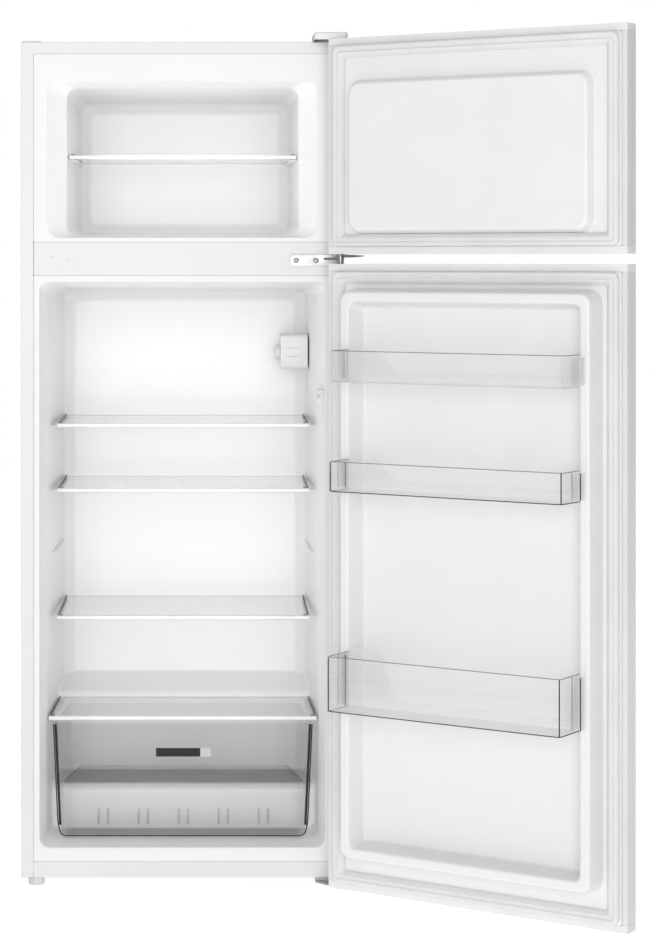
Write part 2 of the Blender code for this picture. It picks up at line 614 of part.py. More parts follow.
def add_controls(home):
    """The lamp and thermostat box on the hinge side's wall, its knob, and the door switch."""
    (x0, x1), (y0, y1), (z0, z1) = CONTROL_BOX
    wall, foot = 0.003, 0.002
    casing = prism(rounded(y0, y1, z0, z1, 0.006), "x", x0, x1 - foot)
    box = add_object("control_box", casing, home, (WHITE, 0.4, 0.0))
    pocket = block((x0 + wall, x1 + 0.01), (y0 + wall, y1 - wall), (z0 + wall, z1 - wall))
    lens_y, lens_z, through = (0.338, 0.358), (0.880, 0.926), (x0 - 0.01, x0 + 0.01)
    opening = block(through, lens_y, lens_z)
    spindle = prism(circle(KNOB_CENTRE.y, KNOB_CENTRE.z, SPINDLE_RADIUS + 0.0005, 12), "x", *through)
    cut(
        box, helper("box_pocket", pocket, home), helper("box_lens", opening, home),
        helper("box_spindle", spindle, home)
    )
    pane = rectangle(lens_y[0] + GAP, lens_y[1] - GAP, lens_z[0] + GAP, lens_z[1] - GAP)
    add_object("lamp_lens", prism(pane, "x", x0, x0 + wall - 0.0004), home, (CLEAR, 0.3, 0.0))

    axle = add_empty("thermostat_axis", home, KNOB_CENTRE)
    face, crest, pointer_half = x0 - 0.0095, x0 - 0.0115, 0.0015
    profile = ((KNOB_RADIUS - 0.0025, face), (KNOB_RADIUS - 0.0005, face + 0.0015), (KNOB_RADIUS, x0 - GAP))
    rings = [lifted(circle(KNOB_CENTRE.y, KNOB_CENTRE.z, r, 24), "x", x) for r, x in profile]
    knob = add_object("thermostat_knob", loft(rings), axle, (WHITE, 0.4, 0.0))
    stem = prism(circle(KNOB_CENTRE.y, KNOB_CENTRE.z, SPINDLE_RADIUS, 12), "x", x0 - 0.005, x0 + 0.006)
    pointer = block(
        (crest, face + 0.0035), (KNOB_CENTRE.y - pointer_half, KNOB_CENTRE.y + pointer_half),
        (KNOB_CENTRE.z, KNOB_CENTRE.z + KNOB_RADIUS - 0.003)
    )
    unite(knob, helper("knob_stem", stem, axle), helper("knob_pointer", pointer, axle))

    near, far, half_high = SWITCH.y - 0.012, SWITCH.y + 0.014, 0.011
    inner = SWITCH.x - PLUNGER_RADIUS - 0.0012
    near_wall, far_wall = (wall_at(FRIDGE_WALL, y)[0] - GAP for y in (near, far))
    outline = [(inner, near), (near_wall, near), (far_wall, far), (inner, far)]
    body = prism(outline, "z", SWITCH.z - half_high, SWITCH.z + half_high)
    switch = add_object("door_switch_body", body, home, (WHITE, 0.4, 0.0))
    hole = circle(SWITCH.x, SWITCH.z, PLUNGER_RADIUS + GAP, 12)
    bore = prism(hole, "y", near - 0.008, SWITCH.y + 0.010)
    cut(switch, helper("switch_bore", bore, home))
    slide = add_empty("door_switch_slide", home, SWITCH)
    rod = circle(SWITCH.x, SWITCH.z, PLUNGER_RADIUS, 12)
    plunger = prism(rod, "y", near - 0.0075, SWITCH.y + 0.0025)
    add_object("door_switch_plunger", plunger, slide, (GREY, 0.4, 0.0))


# ---------------------------------------------------------------- hinges and feet
def hinge_arm(near_x, near_y, width):
    """Plan of a hinge plate: a block on the cabinet and an arm to the pin, rounded about it."""
    half, steps = width / 2, 8
    tip = []
    for step in range(steps + 1):
        angle = -pi + step * pi / steps
        tip.append((PIN.x + half * cos(angle), PIN.y + half * sin(angle)))
    return [(near_x, near_y), (near_x, -0.002), *tip, (PIN.x + half, near_y)]


def add_hinges(home):
    """Three zinc-plated hinges: the top one under a cover, the middle one between the doors, the foot's."""
    finish, arm_width, plate_left = (STEEL, 0.35, 1.0), 0.012, 0.226
    pin_plan = circle(PIN.x, PIN.y, PIN_RADIUS, 16)
    collar_plan = circle(PIN.x, PIN.y, COLLAR_RADIUS, 16)

    top = CABINET_TOP + GAP
    arm = prism(hinge_arm(plate_left, 0.040, arm_width), "z", top, top + HINGE_PLATE)
    plate = add_object("top_hinge", arm, home, finish)
    pin = prism(pin_plan, "z", CABINET_TOP - PIN_LENGTH, top + 0.002)
    unite(plate, helper("top_pin", pin, home))

    cover_x, cover_y, wall, high = (0.2220, 0.2788), (-0.0505, 0.0440), 0.002, top + HINGE_PLATE + 0.0095
    outline = rounded(*cover_x, *cover_y, 0.006)
    inner_x, inner_y = (cover_x[0] + wall, cover_x[1] - wall), (cover_y[0] + wall, cover_y[1] - wall)
    crown = rounded(*inner_x, *inner_y, 0.006)
    lid = loft([lifted(outline, "z", top), lifted(outline, "z", high - wall), lifted(crown, "z", high)])
    cover = add_object("top_hinge_cover", lid, home, (WHITE, 0.4, 0.0))
    hollow = block(inner_x, inner_y, (0, top + HINGE_PLATE + 0.0060))
    cut(cover, helper("cover_hollow", hollow, home))

    face = block((0.184, PIN.x + arm_width / 2), (-0.0026, -GAP), (1.0590, 1.0774))
    middle = add_object("middle_hinge", face, home, finish)
    arm = prism(hinge_arm(0.240, -2 * GAP, arm_width), "z", *MIDDLE_ARM)
    post = prism(pin_plan, "z", FRIDGE_DOOR[1] - PIN_LENGTH, FREEZER_DOOR[0] + PIN_LENGTH)
    collar = prism(collar_plan, "z", FRIDGE_DOOR[1] + 2 * GAP, FREEZER_DOOR[0] - 2 * GAP)
    unite(
        middle, helper("middle_arm", arm, home), helper("middle_post", post, home),
        helper("middle_collar", collar, home)
    )

    high = CABINET_BASE - 0.0050
    low, inside = high - HINGE_PLATE, high - HINGE_PLATE + 0.001
    arm = prism(hinge_arm(plate_left, 0.060, arm_width), "z", low, high)
    bottom = add_object("bottom_hinge", arm, home, finish)
    pin = prism(pin_plan, "z", inside, FRIDGE_DOOR[0] + PIN_LENGTH)
    collar = prism(collar_plan, "z", inside, FRIDGE_DOOR[0] - GAP)
    spacer = block((plate_left, PIN.x), (0.0030, 0.0180), (inside, CABINET_BASE - GAP))
    unite(
        bottom, helper("bottom_pin", pin, home), helper("bottom_collar", collar, home),
        helper("bottom_spacer", spacer, home)
    )
    hole = prism(circle(*FOOT_PLACE, STEM_RADIUS + 0.0010, 16), "z", -0.01, CABINET_BASE - 0.003)
    cut(bottom, helper("bottom_foot_hole", hole, home))


def add_feet(home):
    """Levelling feet: a ribbed pad on a threaded stem that runs up into the bottom rail."""
    sides, chamfer, groove, stem_high = 36, 0.0008, 0.0008, 0.040
    under_hinge = CABINET_BASE - 0.0050 - HINGE_PLATE - GAP
    for name, side, high in (("left", -1, CABINET_BASE - 0.0005), ("right", 1, under_hinge)):
        x, y = side * FOOT_PLACE[0], FOOT_PLACE[1]
        axis = add_empty(f"front_foot_{name}_axis", home, (x, y, 0))
        ribbed = []
        for step, (u, v) in enumerate(circle(0, 0, 1, sides)):
            radius = FOOT_RADIUS - (0 if step % 3 else groove)
            ribbed.append((x + radius * u, y + radius * v))
        rings = [lifted(circle(x, y, FOOT_RADIUS - 0.001, sides), "z", 0)]
        rings += [lifted(ribbed, "z", z) for z in (chamfer, high)]
        rings += [lifted(circle(x, y, STEM_RADIUS, sides), "z", z) for z in (high, stem_high)]
        add_object(f"front_foot_{name}", loft(rings), axis, (FOOT_GREY, 0.5, 0.0))


# ---------------------------------------------------------------- doors
def door_outline(inset):
    """Plan of a door from its free edge round the front to the hinge edge, with rounded front corners."""
    half, front, back, radius = DOOR_HALF - inset, DOOR_OUTER + inset, DOOR_INNER - inset, DOOR_ROUND - inset
    points = [(-half, back)]
    for centre_x, start in ((-half + radius, pi), (half - radius, 1.5 * pi)):
        points += [
            (
                centre_x + radius * cos(start + i * pi / 10),
                front + radius + radius * sin(start + i * pi / 10)
            )
            for i in range(6)
        ]
    return points + [(half, back)]


def add_door_case(name, low, high, axis):
    """Skin, end caps and foam of a door."""
    inner_low, inner_high = low + DOOR_CAP + GAP, high - DOOR_CAP - GAP
    outline, inside = door_outline(0), door_outline(DOOR_SKIN)
    lap = DOOR_HALF - DOOR_RETURN
    back = DOOR_INNER - DOOR_SKIN
    fold_left, fold_right = [(-lap, DOOR_INNER), (-lap, back)], [(lap, back), (lap, DOOR_INNER)]
    skin = fold_left[::-1] + outline + fold_right[::-1] + inside[::-1]
    add_object(f"{name}_door_skin", prism(skin, "z", inner_low, inner_high), axis, (WHITE, 0.35, 0.0))
    for end, z0, z1 in (("bottom", low, low + DOOR_CAP), ("top", high - DOOR_CAP, high)):
        cap = add_object(f"{name}_door_{end}_cap", prism(outline, "z", z0, z1), axis, (WHITE, 0.4, 0.0))
        deep = PIN_LENGTH + 0.001
        bore = (z0 - 0.01, z0 + deep) if end == "bottom" else (z1 - deep, z1 + 0.01)
        hole = prism(circle(PIN.x, PIN.y, PIN_RADIUS + 0.0005, 16), "z", *bore)
        cut(cap, helper(f"{name}_{end}_bore", hole, axis))
    foam = prism(door_outline(DOOR_SKIN + GAP), "z", inner_low, inner_high)
    core = add_object(f"{name}_door_foam", foam, axis, ((0.80, 0.74, 0.50), 0.9, 0.0))
    shave = block((-0.3, 0.3), (DOOR_INNER - 0.0024, 0.1), (low - 0.1, high + 0.1))
    cut(core, helper(f"{name}_foam_face", shave, axis))


def liner_rings(low, high, steps, wall):
    """Front rings of a door liner from its edge inwards, then the same steps behind, a wall away."""
    edge = DOOR_HALF - DOOR_RETURN - GAP
    z0, z1 = low + DOOR_CAP + GAP, high - DOOR_CAP - GAP
    front = [lifted(rounded(-edge, edge, z0, z1, 0.002), "y", DOOR_INNER)]
    back = [lifted(rounded(-edge, edge, z0, z1, 0.002), "y", DOOR_INNER - wall)]
    for half, bottom, top, height, radius, slope in steps:
        front.append(lifted(rounded(-half, half, bottom, top, radius), "y", DOOR_INNER + height))
        half, bottom, top = half - slope * wall, bottom + slope * wall, top - slope * wall
        back.append(
            lifted(
                rounded(-half, half, bottom, top, radius - slope * wall * 0.5), "y",
                DOOR_INNER + height - wall
            )
        )
    return front[::-1] + back


def add_door_liner(name, low, high, steps, axis):
    rings = liner_rings(low, high, steps, 0.0012)
    add_object(f"{name}_door_liner", loft(rings), axis, (INTERIOR, 0.4, 0.0))


def add_gasket(name, low, high, axis):
    """A hollow magnetic seal drawn as one closed ring of its outer profile."""
    rings = []
    width, base = GASKET_WIDTH, DOOR_INNER + GAP
    for inset, y in (
        (0.002, base), (0.0, base + 0.004), (0.001, GASKET_FACE), (width - 0.006, GASKET_FACE),
        (width, base + 0.004), (width - 0.002, base)
    ):
        total = GASKET_INSET + inset
        half = DOOR_HALF - total
        rings.append(
            lifted(rounded(-half, half, low + total, high - total, max(0.012 - inset, 0.003)), "y", y)
        )
    add_object(f"{name}_door_gasket", loft(rings, closed=True), axis, ((0.72, 0.73, 0.75), 0.7, 0.0))


def add_grip(name, axis):
    """A slim upright grip on the front face beside the free edge, scooped at its middle."""
    middle, half = GRIP_HEIGHTS[name], GRIP_LENGTH / 2
    x0, x1 = -DOOR_HALF + 0.0125, -DOOR_HALF + 0.0325
    front = DOOR_OUTER - GAP
    outline = [(z, front) for z in (middle - half, middle + half)]
    outline += [
        (middle + half - 0.010, front - 0.007), (middle + 0.022, front - 0.007),
        (middle + 0.013, front - 0.0025)
    ]
    outline += [
        (middle - 0.013, front - 0.0025), (middle - 0.022, front - 0.007),
        (middle - half + 0.010, front - 0.007)
    ]
    bar = prism([(y, z) for z, y in outline], "x", x0, x1)
    add_object(f"{name}_door_grip", bar, axis, (WHITE, 0.35, 0.0))


def add_bin(name, low, high, reach, axis):
    """A clear door bin: an open tray that hooks on the dykes, with a higher back."""
    back = DOOR_INNER + FRIDGE_DYKE[3] + 0.0006
    half, wall = BIN_HALF, BIN_WALL
    levels = ((low, half - 0.004, 0.004), (low + 0.006, half - 0.001, 0.0), (high, half, 0.0))
    rings = [lifted(rounded(-h, h, back, reach - inset, 0.008), "z", z) for z, h, inset in levels]
    tray = add_object(f"door_bin_{name}", loft(rings), axis, (CLEAR, 0.08, 0.0))
    levels = ((low + wall, half - 0.004, 0.004), (low + 0.008, half - 0.001, 0.0), (high + 0.02, half, 0.0))
    rings = [
        lifted(rounded(wall - h, h - wall, back + wall, reach - inset - wall, 0.006), "z", z)
        for z, h, inset in levels
    ]
    cut(tray, helper(f"bin_{name}_inside", loft(rings), axis))
    hooks = []
    for side in (-1, 1):
        inner, outer = side * (half - 0.010), side * (FRIDGE_DYKE[0] - 0.004)
        plan = rectangle(min(inner, outer), max(inner, outer), back, back + 0.0018)
        hooks.append((plan, "z", low + 0.004, high - 0.004))
    unite(tray, helper(f"bin_{name}_hooks", prisms(*hooks), axis))


def add_doors(home):
    axes = {name: add_empty(f"{name}_door_axis", home, PIN, DOOR_OPEN) for name in ("freezer", "fridge")}
    for name, (low, high) in (("freezer", FREEZER_DOOR), ("fridge", FRIDGE_DOOR)):
        add_door_case(name, low, high, axes[name])
        add_gasket(name, low, high, axes[name])
        add_grip(name, axes[name])
    half, low, high, height = FREEZER_PANEL
    base = (half + 0.005, low - 0.005, high + 0.005, 0.0, 0.020, 1)
    add_door_liner("freezer", *FREEZER_DOOR, [base, (half, low, high, height, 0.016, 1)], axes["freezer"])
    half, low, high, height = FRIDGE_DYKE
    inner = half - DYKE_WIDTH
    steps = [
        (half + 0.002, low - 0.002, high + 0.002, 0.0, 0.020, 1),
        (half - 0.003, low + 0.003, high - 0.003, height, 0.016, 1),
        (inner, low + DYKE_WIDTH, high - DYKE_WIDTH, height, 0.012, -1),
        (inner - 0.008, low + 0.025, high - 0.025, 0.002, 0.010, -1)
    ]
    add_door_liner("fridge", *FRIDGE_DOOR, steps, axes["fridge"])
    for name, (low, high, reach) in BINS.items():
        add_bin(name, low, high, reach, axes["fridge"])


def main():
    clear_scene()
    home = add_empty("refrigerator", None, -ORIGIN)
    add_shell(home)
    add_front_channel("mullion_strip", MULLION_LOW, MULLION_HIGH, 0.020, home)
    add_front_channel("bottom_rail", CABINET_BASE, RAIL_HIGH, 0.020, home)
    add_liners(home)
    add_foam(home)
    add_bay(home)
    add_support(home)
    add_rollers(home)
    add_compressor(home)
    add_circuit(home)
    add_shelves(home)
    add_drawer(home)
    add_controls(home)
    add_hinges(home)
    add_feet(home)
    add_doors(home)


main()
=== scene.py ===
"""Looks of the top freezer refrigerator: sheets, glass, seals, screws, materials, studio and camera."""

import json
from math import cos, pi, radians, sin

import bmesh
import bpy
from mathutils import Matrix, Vector


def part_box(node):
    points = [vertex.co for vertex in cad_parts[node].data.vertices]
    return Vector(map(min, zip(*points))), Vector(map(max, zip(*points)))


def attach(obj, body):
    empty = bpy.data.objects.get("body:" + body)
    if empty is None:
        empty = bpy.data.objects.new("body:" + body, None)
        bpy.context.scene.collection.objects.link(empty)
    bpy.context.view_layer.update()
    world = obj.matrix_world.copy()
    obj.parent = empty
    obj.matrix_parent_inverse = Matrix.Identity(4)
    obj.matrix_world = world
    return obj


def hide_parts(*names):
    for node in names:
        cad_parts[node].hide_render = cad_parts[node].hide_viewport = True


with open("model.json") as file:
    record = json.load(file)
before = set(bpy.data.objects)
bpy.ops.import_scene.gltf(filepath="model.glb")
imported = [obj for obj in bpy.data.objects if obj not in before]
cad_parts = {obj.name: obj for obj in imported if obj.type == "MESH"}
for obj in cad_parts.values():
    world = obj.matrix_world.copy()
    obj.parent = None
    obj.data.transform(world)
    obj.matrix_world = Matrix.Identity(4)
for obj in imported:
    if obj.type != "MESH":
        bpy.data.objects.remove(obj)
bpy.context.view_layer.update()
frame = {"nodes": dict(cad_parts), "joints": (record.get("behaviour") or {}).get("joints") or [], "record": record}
NODES = frame["nodes"]

SHELL_LOW, SHELL_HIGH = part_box("cabinet_shell")
# Drawing frame: x = 0 at the middle of the cabinet, y = 0 at its front face, z = 0 on the floor.
HOME = Vector(((SHELL_LOW.x + SHELL_HIGH.x) / 2, SHELL_LOW.y, 0))
HALF_WIDTH = (SHELL_HIGH.x - SHELL_LOW.x) / 2
CABINET_TOP = SHELL_HIGH.z
JOINTS = {joint["name"]: joint for joint in frame["joints"]}
PIN = Vector(JOINTS["fridge_door_hinge"]["pos_m"]) - HOME
PIN.z = 0
DOOR_OPEN = radians(-JOINTS["fridge_door_hinge"]["range_deg"][0])
DOOR_TURN = Matrix.Translation(HOME + PIN) @ Matrix.Rotation(DOOR_OPEN, 4, "Z") @ Matrix.Translation(-PIN)
CABINET = Matrix.Translation(HOME)


def drawn_box(node):
    """A cabinet node's box in the drawing frame."""
    low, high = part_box(node)
    return low - HOME, high - HOME


# ---------------------------------------------------------------- shape helpers
def rounded(u0, u1, v0, v1, radius, steps=8):
    """The outline of a rectangle with rounded corners."""
    points = []
    for turn, (u, v) in enumerate(((u1, v1), (u0, v1), (u0, v0), (u1, v0))):
        centre_u = u - radius if u == u1 else u + radius
        centre_v = v - radius if v == v1 else v + radius
        for step in range(steps + 1):
            angle = (turn + step / steps) * pi / 2
            points.append((centre_u + radius * cos(angle), centre_v + radius * sin(angle)))
    return points


def circle(u, v, radius, sides=32):
    angles = [2 * pi * i / sides for i in range(sides)]
    return [(u + radius * cos(angle), v + radius * sin(angle)) for angle in angles]


def rectangle(u0, u1, v0, v1):
    return [(u0, v0), (u1, v0), (u1, v1), (u0, v1)]


def lifted(outline, axis, height):
    """A flat outline as points at a height along an axis."""
    place = "xyz".index(axis)
    return [(*point[:place], height, *point[place:]) for point in map(tuple, outline)]


def fillet(points, radius, steps=5):
    """An open line of points with its inner corners rounded, by one radius or by one for each corner."""
    made = [Vector(points[0])]
    for i in range(1, len(points) - 1):
        corner = Vector(points[i])
        before, after = Vector(points[i - 1]) - corner, Vector(points[i + 1]) - corner
        size = radius[i - 1] if isinstance(radius, (list, tuple)) else radius
        size = min(size, before.length * 0.49, after.length * 0.49)
        start, end = corner + before.normalized() * size, corner + after.normalized() * size
        for step in range(steps + 1):
            t = step / steps
            made.append(start * (1 - t) ** 2 + corner * 2 * t * (1 - t) + end * t ** 2)
    made.append(Vector(points[-1]))
    return made


def skin_rings(bm, rings, closed=False, caps=True):
    loops = [[bm.verts.new(point) for point in ring] for ring in rings]
    pairs = list(zip(loops, loops[1:]))
    if closed:
        pairs.append((loops[-1], loops[0]))
    elif caps:
        bm.faces.new(loops[0])
        bm.faces.new(reversed(loops[-1]))
    for first, second in pairs:
        for i in range(len(first)):
            j = (i + 1) % len(first)
            bm.faces.new((first[i], second[i], second[j], first[j]))


def loft(rings, closed=False):
    bm = bmesh.new()
    skin_rings(bm, rings, closed)
    return bm


def lofts(groups, closed=False):
    bm = bmesh.new()
    for rings in groups:
        skin_rings(bm, rings, closed)
    return bm


def prism(outline, axis, start, end):
    return loft([lifted(outline, axis, start), lifted(outline, axis, end)])


def prisms(*parts):
    return lofts(
        [[lifted(outline, axis, start), lifted(outline, axis, end)] for outline, axis, start, end in parts]
    )


def blocks(*boxes):
    return prisms(*[(rectangle(*x, *y), "z", *z) for x, y, z in boxes])


def new_object(name, bm, place, smooth=40):
    """An object from a bmesh in the drawing frame, moved into the row frame by place."""
    bmesh.ops.recalc_face_normals(bm, faces=bm.faces)
    bm.transform(place)
    mesh = bpy.data.meshes.new(name)
    bm.to_mesh(mesh)
    bm.free()
    mesh.shade_smooth()
    mesh.set_sharp_from_angle(angle=radians(smooth))
    obj = bpy.data.objects.new(name, mesh)
    bpy.context.scene.collection.objects.link(obj)
    return obj


def piece(name, bm, body, slot, material, replaces=(), place=CABINET, bevel=0.0, segments=2, smooth=40):
    obj = new_object(name, bm, place, smooth)
    obj.data.materials.append(material)
    if bevel:
        add_bevel(obj, bevel, segments)
    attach(obj, body)
    if replaces:
        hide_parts(*([replaces] if isinstance(replaces, str) else replaces))
    return obj


def add_bevel(obj, width, segments=2, angle=35):
    modifier = obj.modifiers.new("edge_rounding", "BEVEL")
    modifier.width, modifier.segments = width, segments
    modifier.limit_method, modifier.angle_limit = "ANGLE", radians(angle)
    modifier.harden_normals = False
    modifier.use_clamp_overlap = True


def even_shading(obj):
    """Keeps large flat faces evenly lit beside rounded edges."""
    modifier = obj.modifiers.new("even_shading", "WEIGHTED_NORMAL")
    modifier.keep_sharp, modifier.weight = True, 50


def carve(name, bm, cutters, unions=()):
    """A temporary solid cut by others, returned as a bmesh in the drawing frame."""
    base = new_object(name, bm, Matrix.Identity(4))
    tools = []
    for operation, group in (("DIFFERENCE", cutters), ("UNION", unions)):
        for tool in group:
            helper = new_object(f"{name}_tool", tool, Matrix.Identity(4))
            modifier = base.modifiers.new("carve", "BOOLEAN")
            modifier.operation, modifier.object = operation, helper
            tools.append(helper)
    bpy.context.view_layer.update()
    evaluated = base.evaluated_get(bpy.context.evaluated_depsgraph_get())
    result = bmesh.new()
    result.from_mesh(evaluated.to_mesh())
    for obj in [base, *tools]:
        bpy.data.objects.remove(obj, do_unlink=True)
    bmesh.ops.remove_doubles(result, verts=result.verts, dist=1e-5)
    return result


# ---------------------------------------------------------------- materials
def material(
    name, colour, roughness, tint=0.03, patch=14, grain=900, bump=0.03, depth=0.0003, rim=None, **sockets
):
    """A surface whose colour and gloss drift in soft patches and whose skin has a fine grain.

    rim = (face-on, edge-on) opacity makes it a clear sheet that closes up where it is seen edge-on.
    """
    made = bpy.data.materials.new(name)
    made.use_nodes = True
    tree = made.node_tree
    shader = tree.nodes["Principled BSDF"]
    place = tree.nodes.new("ShaderNodeTexCoord").outputs["Object"]

    def noise(scale, detail):
        node = tree.nodes.new("ShaderNodeTexNoise")
        tree.links.new(place, node.inputs["Vector"])
        node.inputs["Scale"].default_value = scale
        node.inputs["Detail"].default_value = detail
        return node.outputs["Fac"]

    def ranged(value, low, high):
        node = tree.nodes.new("ShaderNodeMapRange")
        tree.links.new(value, node.inputs["Value"])
        node.inputs["From Min"].default_value, node.inputs["From Max"].default_value = 0.3, 0.7
        node.inputs["To Min"].default_value, node.inputs["To Max"].default_value = low, high
        return node.outputs["Result"]

    patches = noise(patch, 5)
    tree.links.new(ranged(patches, *roughness), shader.inputs["Roughness"])
    mix = tree.nodes.new("ShaderNodeMix")
    mix.data_type = "RGBA"
    tree.links.new(ranged(patches, 0, 1), mix.inputs["Factor"])
    mix.inputs["A"].default_value = [c * (1 - tint) for c in colour] + [1]
    mix.inputs["B"].default_value = [min(1, c * (1 + tint)) for c in colour] + [1]
    tree.links.new(mix.outputs["Result"], shader.inputs["Base Color"])
    relief = tree.nodes.new("ShaderNodeBump")
    relief.inputs["Strength"].default_value, relief.inputs["Distance"].default_value = bump, depth
    tree.links.new(noise(grain, 2), relief.inputs["Height"])
    tree.links.new(relief.outputs["Normal"], shader.inputs["Normal"])
    if rim:
        facing = tree.nodes.new("ShaderNodeLayerWeight")
        facing.inputs["Blend"].default_value = 0.35
        opacity = tree.nodes.new("ShaderNodeMapRange")
        tree.links.new(facing.outputs["Facing"], opacity.inputs["Value"])
        opacity.inputs["To Min"].default_value, opacity.inputs["To Max"].default_value = rim
        tree.links.new(opacity.outputs["Result"], shader.inputs["Alpha"])
    for socket, value in sockets.items():
        shader.inputs[socket.replace("_", " ")].default_value = value
    return made


PAINT = material("white_paint", (0.685, 0.685, 0.685), (0.28, 0.38), patch=6, grain=420, bump=0.05)
WHITE_PLASTIC = material("white_plastic", (0.74, 0.74, 0.74), (0.34, 0.48), grain=1500, bump=0.06)
CLIP_PLASTIC = material("shelf_plastic", (0.76, 0.76, 0.765), (0.25, 0.4), grain=1500, bump=0.05)
DOOR_LINER = material(
    "door_liner_plastic", (0.765, 0.765, 0.77), (0.30, 0.42), tint=0.012, patch=9, grain=600, bump=0.05
)
# The cabinet liner is the same white plastic as DOOR_LINER. Its inside copy is painted lighter: painted light that
# stands in for the light reaching the inner walls.
LINER_INSIDE_PAINTED_LIGHT = material(
    "liner_plastic", (0.915, 0.915, 0.92), (0.30, 0.42), tint=0.012, patch=9, grain=600, bump=0.05
)
SEAL = material("seal_rubber", (0.69, 0.69, 0.70), (0.55, 0.72), grain=1800, bump=0.12)
GLASS = material("shelf_glass", (0.86, 0.90, 0.89), (0.02, 0.06), bump=0.01, rim=(0.03, 0.40))
CLEAR = material("clear_plastic", (0.76, 0.775, 0.79), (0.08, 0.16), bump=0.03, rim=(0.08, 0.60))
SMOKE = material("smoky_plastic", (0.66, 0.67, 0.69), (0.10, 0.18), bump=0.03, rim=(0.018, 0.26))
DARK_EDGE = material(
    "dark_clear_edge", (0.025, 0.026, 0.03), (0.3, 0.45), tint=0.2, bump=0.04, Specular_IOR_Level=0.12
)
GREY_EDGE = material(
    "grey_clear_edge", (0.22, 0.23, 0.24), (0.3, 0.45), tint=0.1, bump=0.04, Specular_IOR_Level=0.2
)
PALE_EDGE = material("pale_clear_edge", (0.52, 0.53, 0.54), (0.15, 0.3), tint=0.1, bump=0.04)
ZINC = material(
    "zinc_plate", (0.36, 0.36, 0.37), (0.28, 0.5), tint=0.10, patch=60, grain=1400, bump=0.1, Metallic=1.0
)
SCREW_STEEL = material(
    "screw_steel", (0.30, 0.30, 0.31), (0.3, 0.5), tint=0.1, patch=200, grain=2500, bump=0.1, Metallic=1.0
)
BACK_PAINT = material("back_coating", (0.42, 0.43, 0.44), (0.45, 0.62), tint=0.06, grain=500, bump=0.12)
BLACK_PAINT = material("black_paint", (0.012, 0.012, 0.013), (0.32, 0.5), tint=0.25, grain=500, bump=0.15)
BLACK_PLASTIC = material(
    "black_plastic", (0.018, 0.018, 0.019), (0.42, 0.6), tint=0.2, grain=1600, bump=0.15,
    Specular_IOR_Level=0.25
)
COPPER = material(
    "copper", (0.62, 0.27, 0.15), (0.25, 0.45), tint=0.18, patch=45, grain=900, bump=0.1, Metallic=1.0
)
ALUMINIUM = material(
    "aluminium", (0.66, 0.67, 0.68), (0.3, 0.45), tint=0.06, grain=900, bump=0.1, Metallic=1.0
)
FOAM = material("foam", (0.68, 0.58, 0.33), (0.8, 0.95), tint=0.10, patch=80, grain=300, bump=0.4)
FOOT = material("foot_plastic", (0.62, 0.62, 0.62), (0.42, 0.6), tint=0.05, grain=1500, bump=0.1)
LENS = material("lamp_lens", (0.88, 0.88, 0.84), (0.2, 0.35), grain=700, bump=0.2, rim=(0.75, 0.95))

SLOTS = {
    "steel_white": PAINT, "plastic_white": WHITE_PLASTIC, "liner": LINER_INSIDE_PAINTED_LIGHT, "gasket": SEAL, "glass": GLASS,
    "clear_plastic": CLEAR, "smoke_plastic": SMOKE, "zinc": ZINC, "back_sheet": BACK_PAINT,
    "black_paint": BLACK_PAINT, "black_plastic": BLACK_PLASTIC, "copper": COPPER, "aluminium": ALUMINIUM,
    "foam": FOAM, "foot_plastic": FOOT, "lens": LENS,
}
for subpart in frame["record"]["subparts"]:
    node = NODES[subpart["node"]]
    node.data.materials.clear()
    node.data.materials.append(SLOTS[subpart["material_slot"]])


# ---------------------------------------------------------------- doors, drawn closed and turned open
def closed_box(node):
    """A door node's box with the door turned shut, in the drawing frame."""
    points = [DOOR_TURN.inverted() @ vertex.co for vertex in NODES[node].data.vertices]
    return [Vector([pick(point[axis] for point in points) for axis in range(3)]) for pick in (min, max)]


def door_piece(name, bm, door, slot, made, replaces=(), **looks):
    return piece(name, bm, f"{door}_door", slot, made, replaces, place=DOOR_TURN, **looks)


def tube(points, radius, sides=8):
    """A round rod along a line of points, closed at both ends."""
    points = [Vector(point) for point in points]
    side = (points[1] - points[0]).orthogonal().normalized()
    rings = []
    for i, point in enumerate(points):
        along = (points[min(i + 1, len(points) - 1)] - points[max(i - 1, 0)]).normalized()
        side = (side - along * side.dot(along)).normalized()
        up = along.cross(side)
        rings.append([point + side * u + up * v for u, v in circle(0, 0, radius, sides)])
    return rings


def rods(lines, radius, sides=8):
    return lofts([tube(line, radius, sides) for line in lines])


CLEAR_WALL = 0.0018
BACK_LEDGE = 0.016  # height of a bin's low back wall
BIN_CORNER = 0.008
EDGE_ROD = 0.0010


def bin_front(half, front, back, radius):
    """Plan of a bin's ends and front as an open line with rounded corners."""
    return fillet([(half, back), (half, front), (-half, front), (-half, back)], radius)


def bin_wall(half, front, back, low, high):
    """Both ends and the front of a bin as one bent strip."""
    outer = bin_front(half, front, back, BIN_CORNER)
    inner = bin_front(half - CLEAR_WALL, front - CLEAR_WALL, back, BIN_CORNER - 0.001)
    return prism([*outer, *reversed(inner)], "z", low, high)


def bin_back(half, low, high, guard):
    """Outline of the back wall, high beside the hinge where it holds bottles and low along the rest."""
    ledge = low + BACK_LEDGE
    line = [
        (-half, high), (-half + 0.004, high - 0.002), (-half + 0.016, ledge), (half - 0.088, ledge),
        (half - 0.066, high - 0.008), (half - 0.050, high + guard * 0.6), (half - 0.038, high + guard),
        (half - 0.014, high + guard * 0.5), (half, high)
    ]
    return [(-half, low), *fillet(line, 0.009), (half, low)]


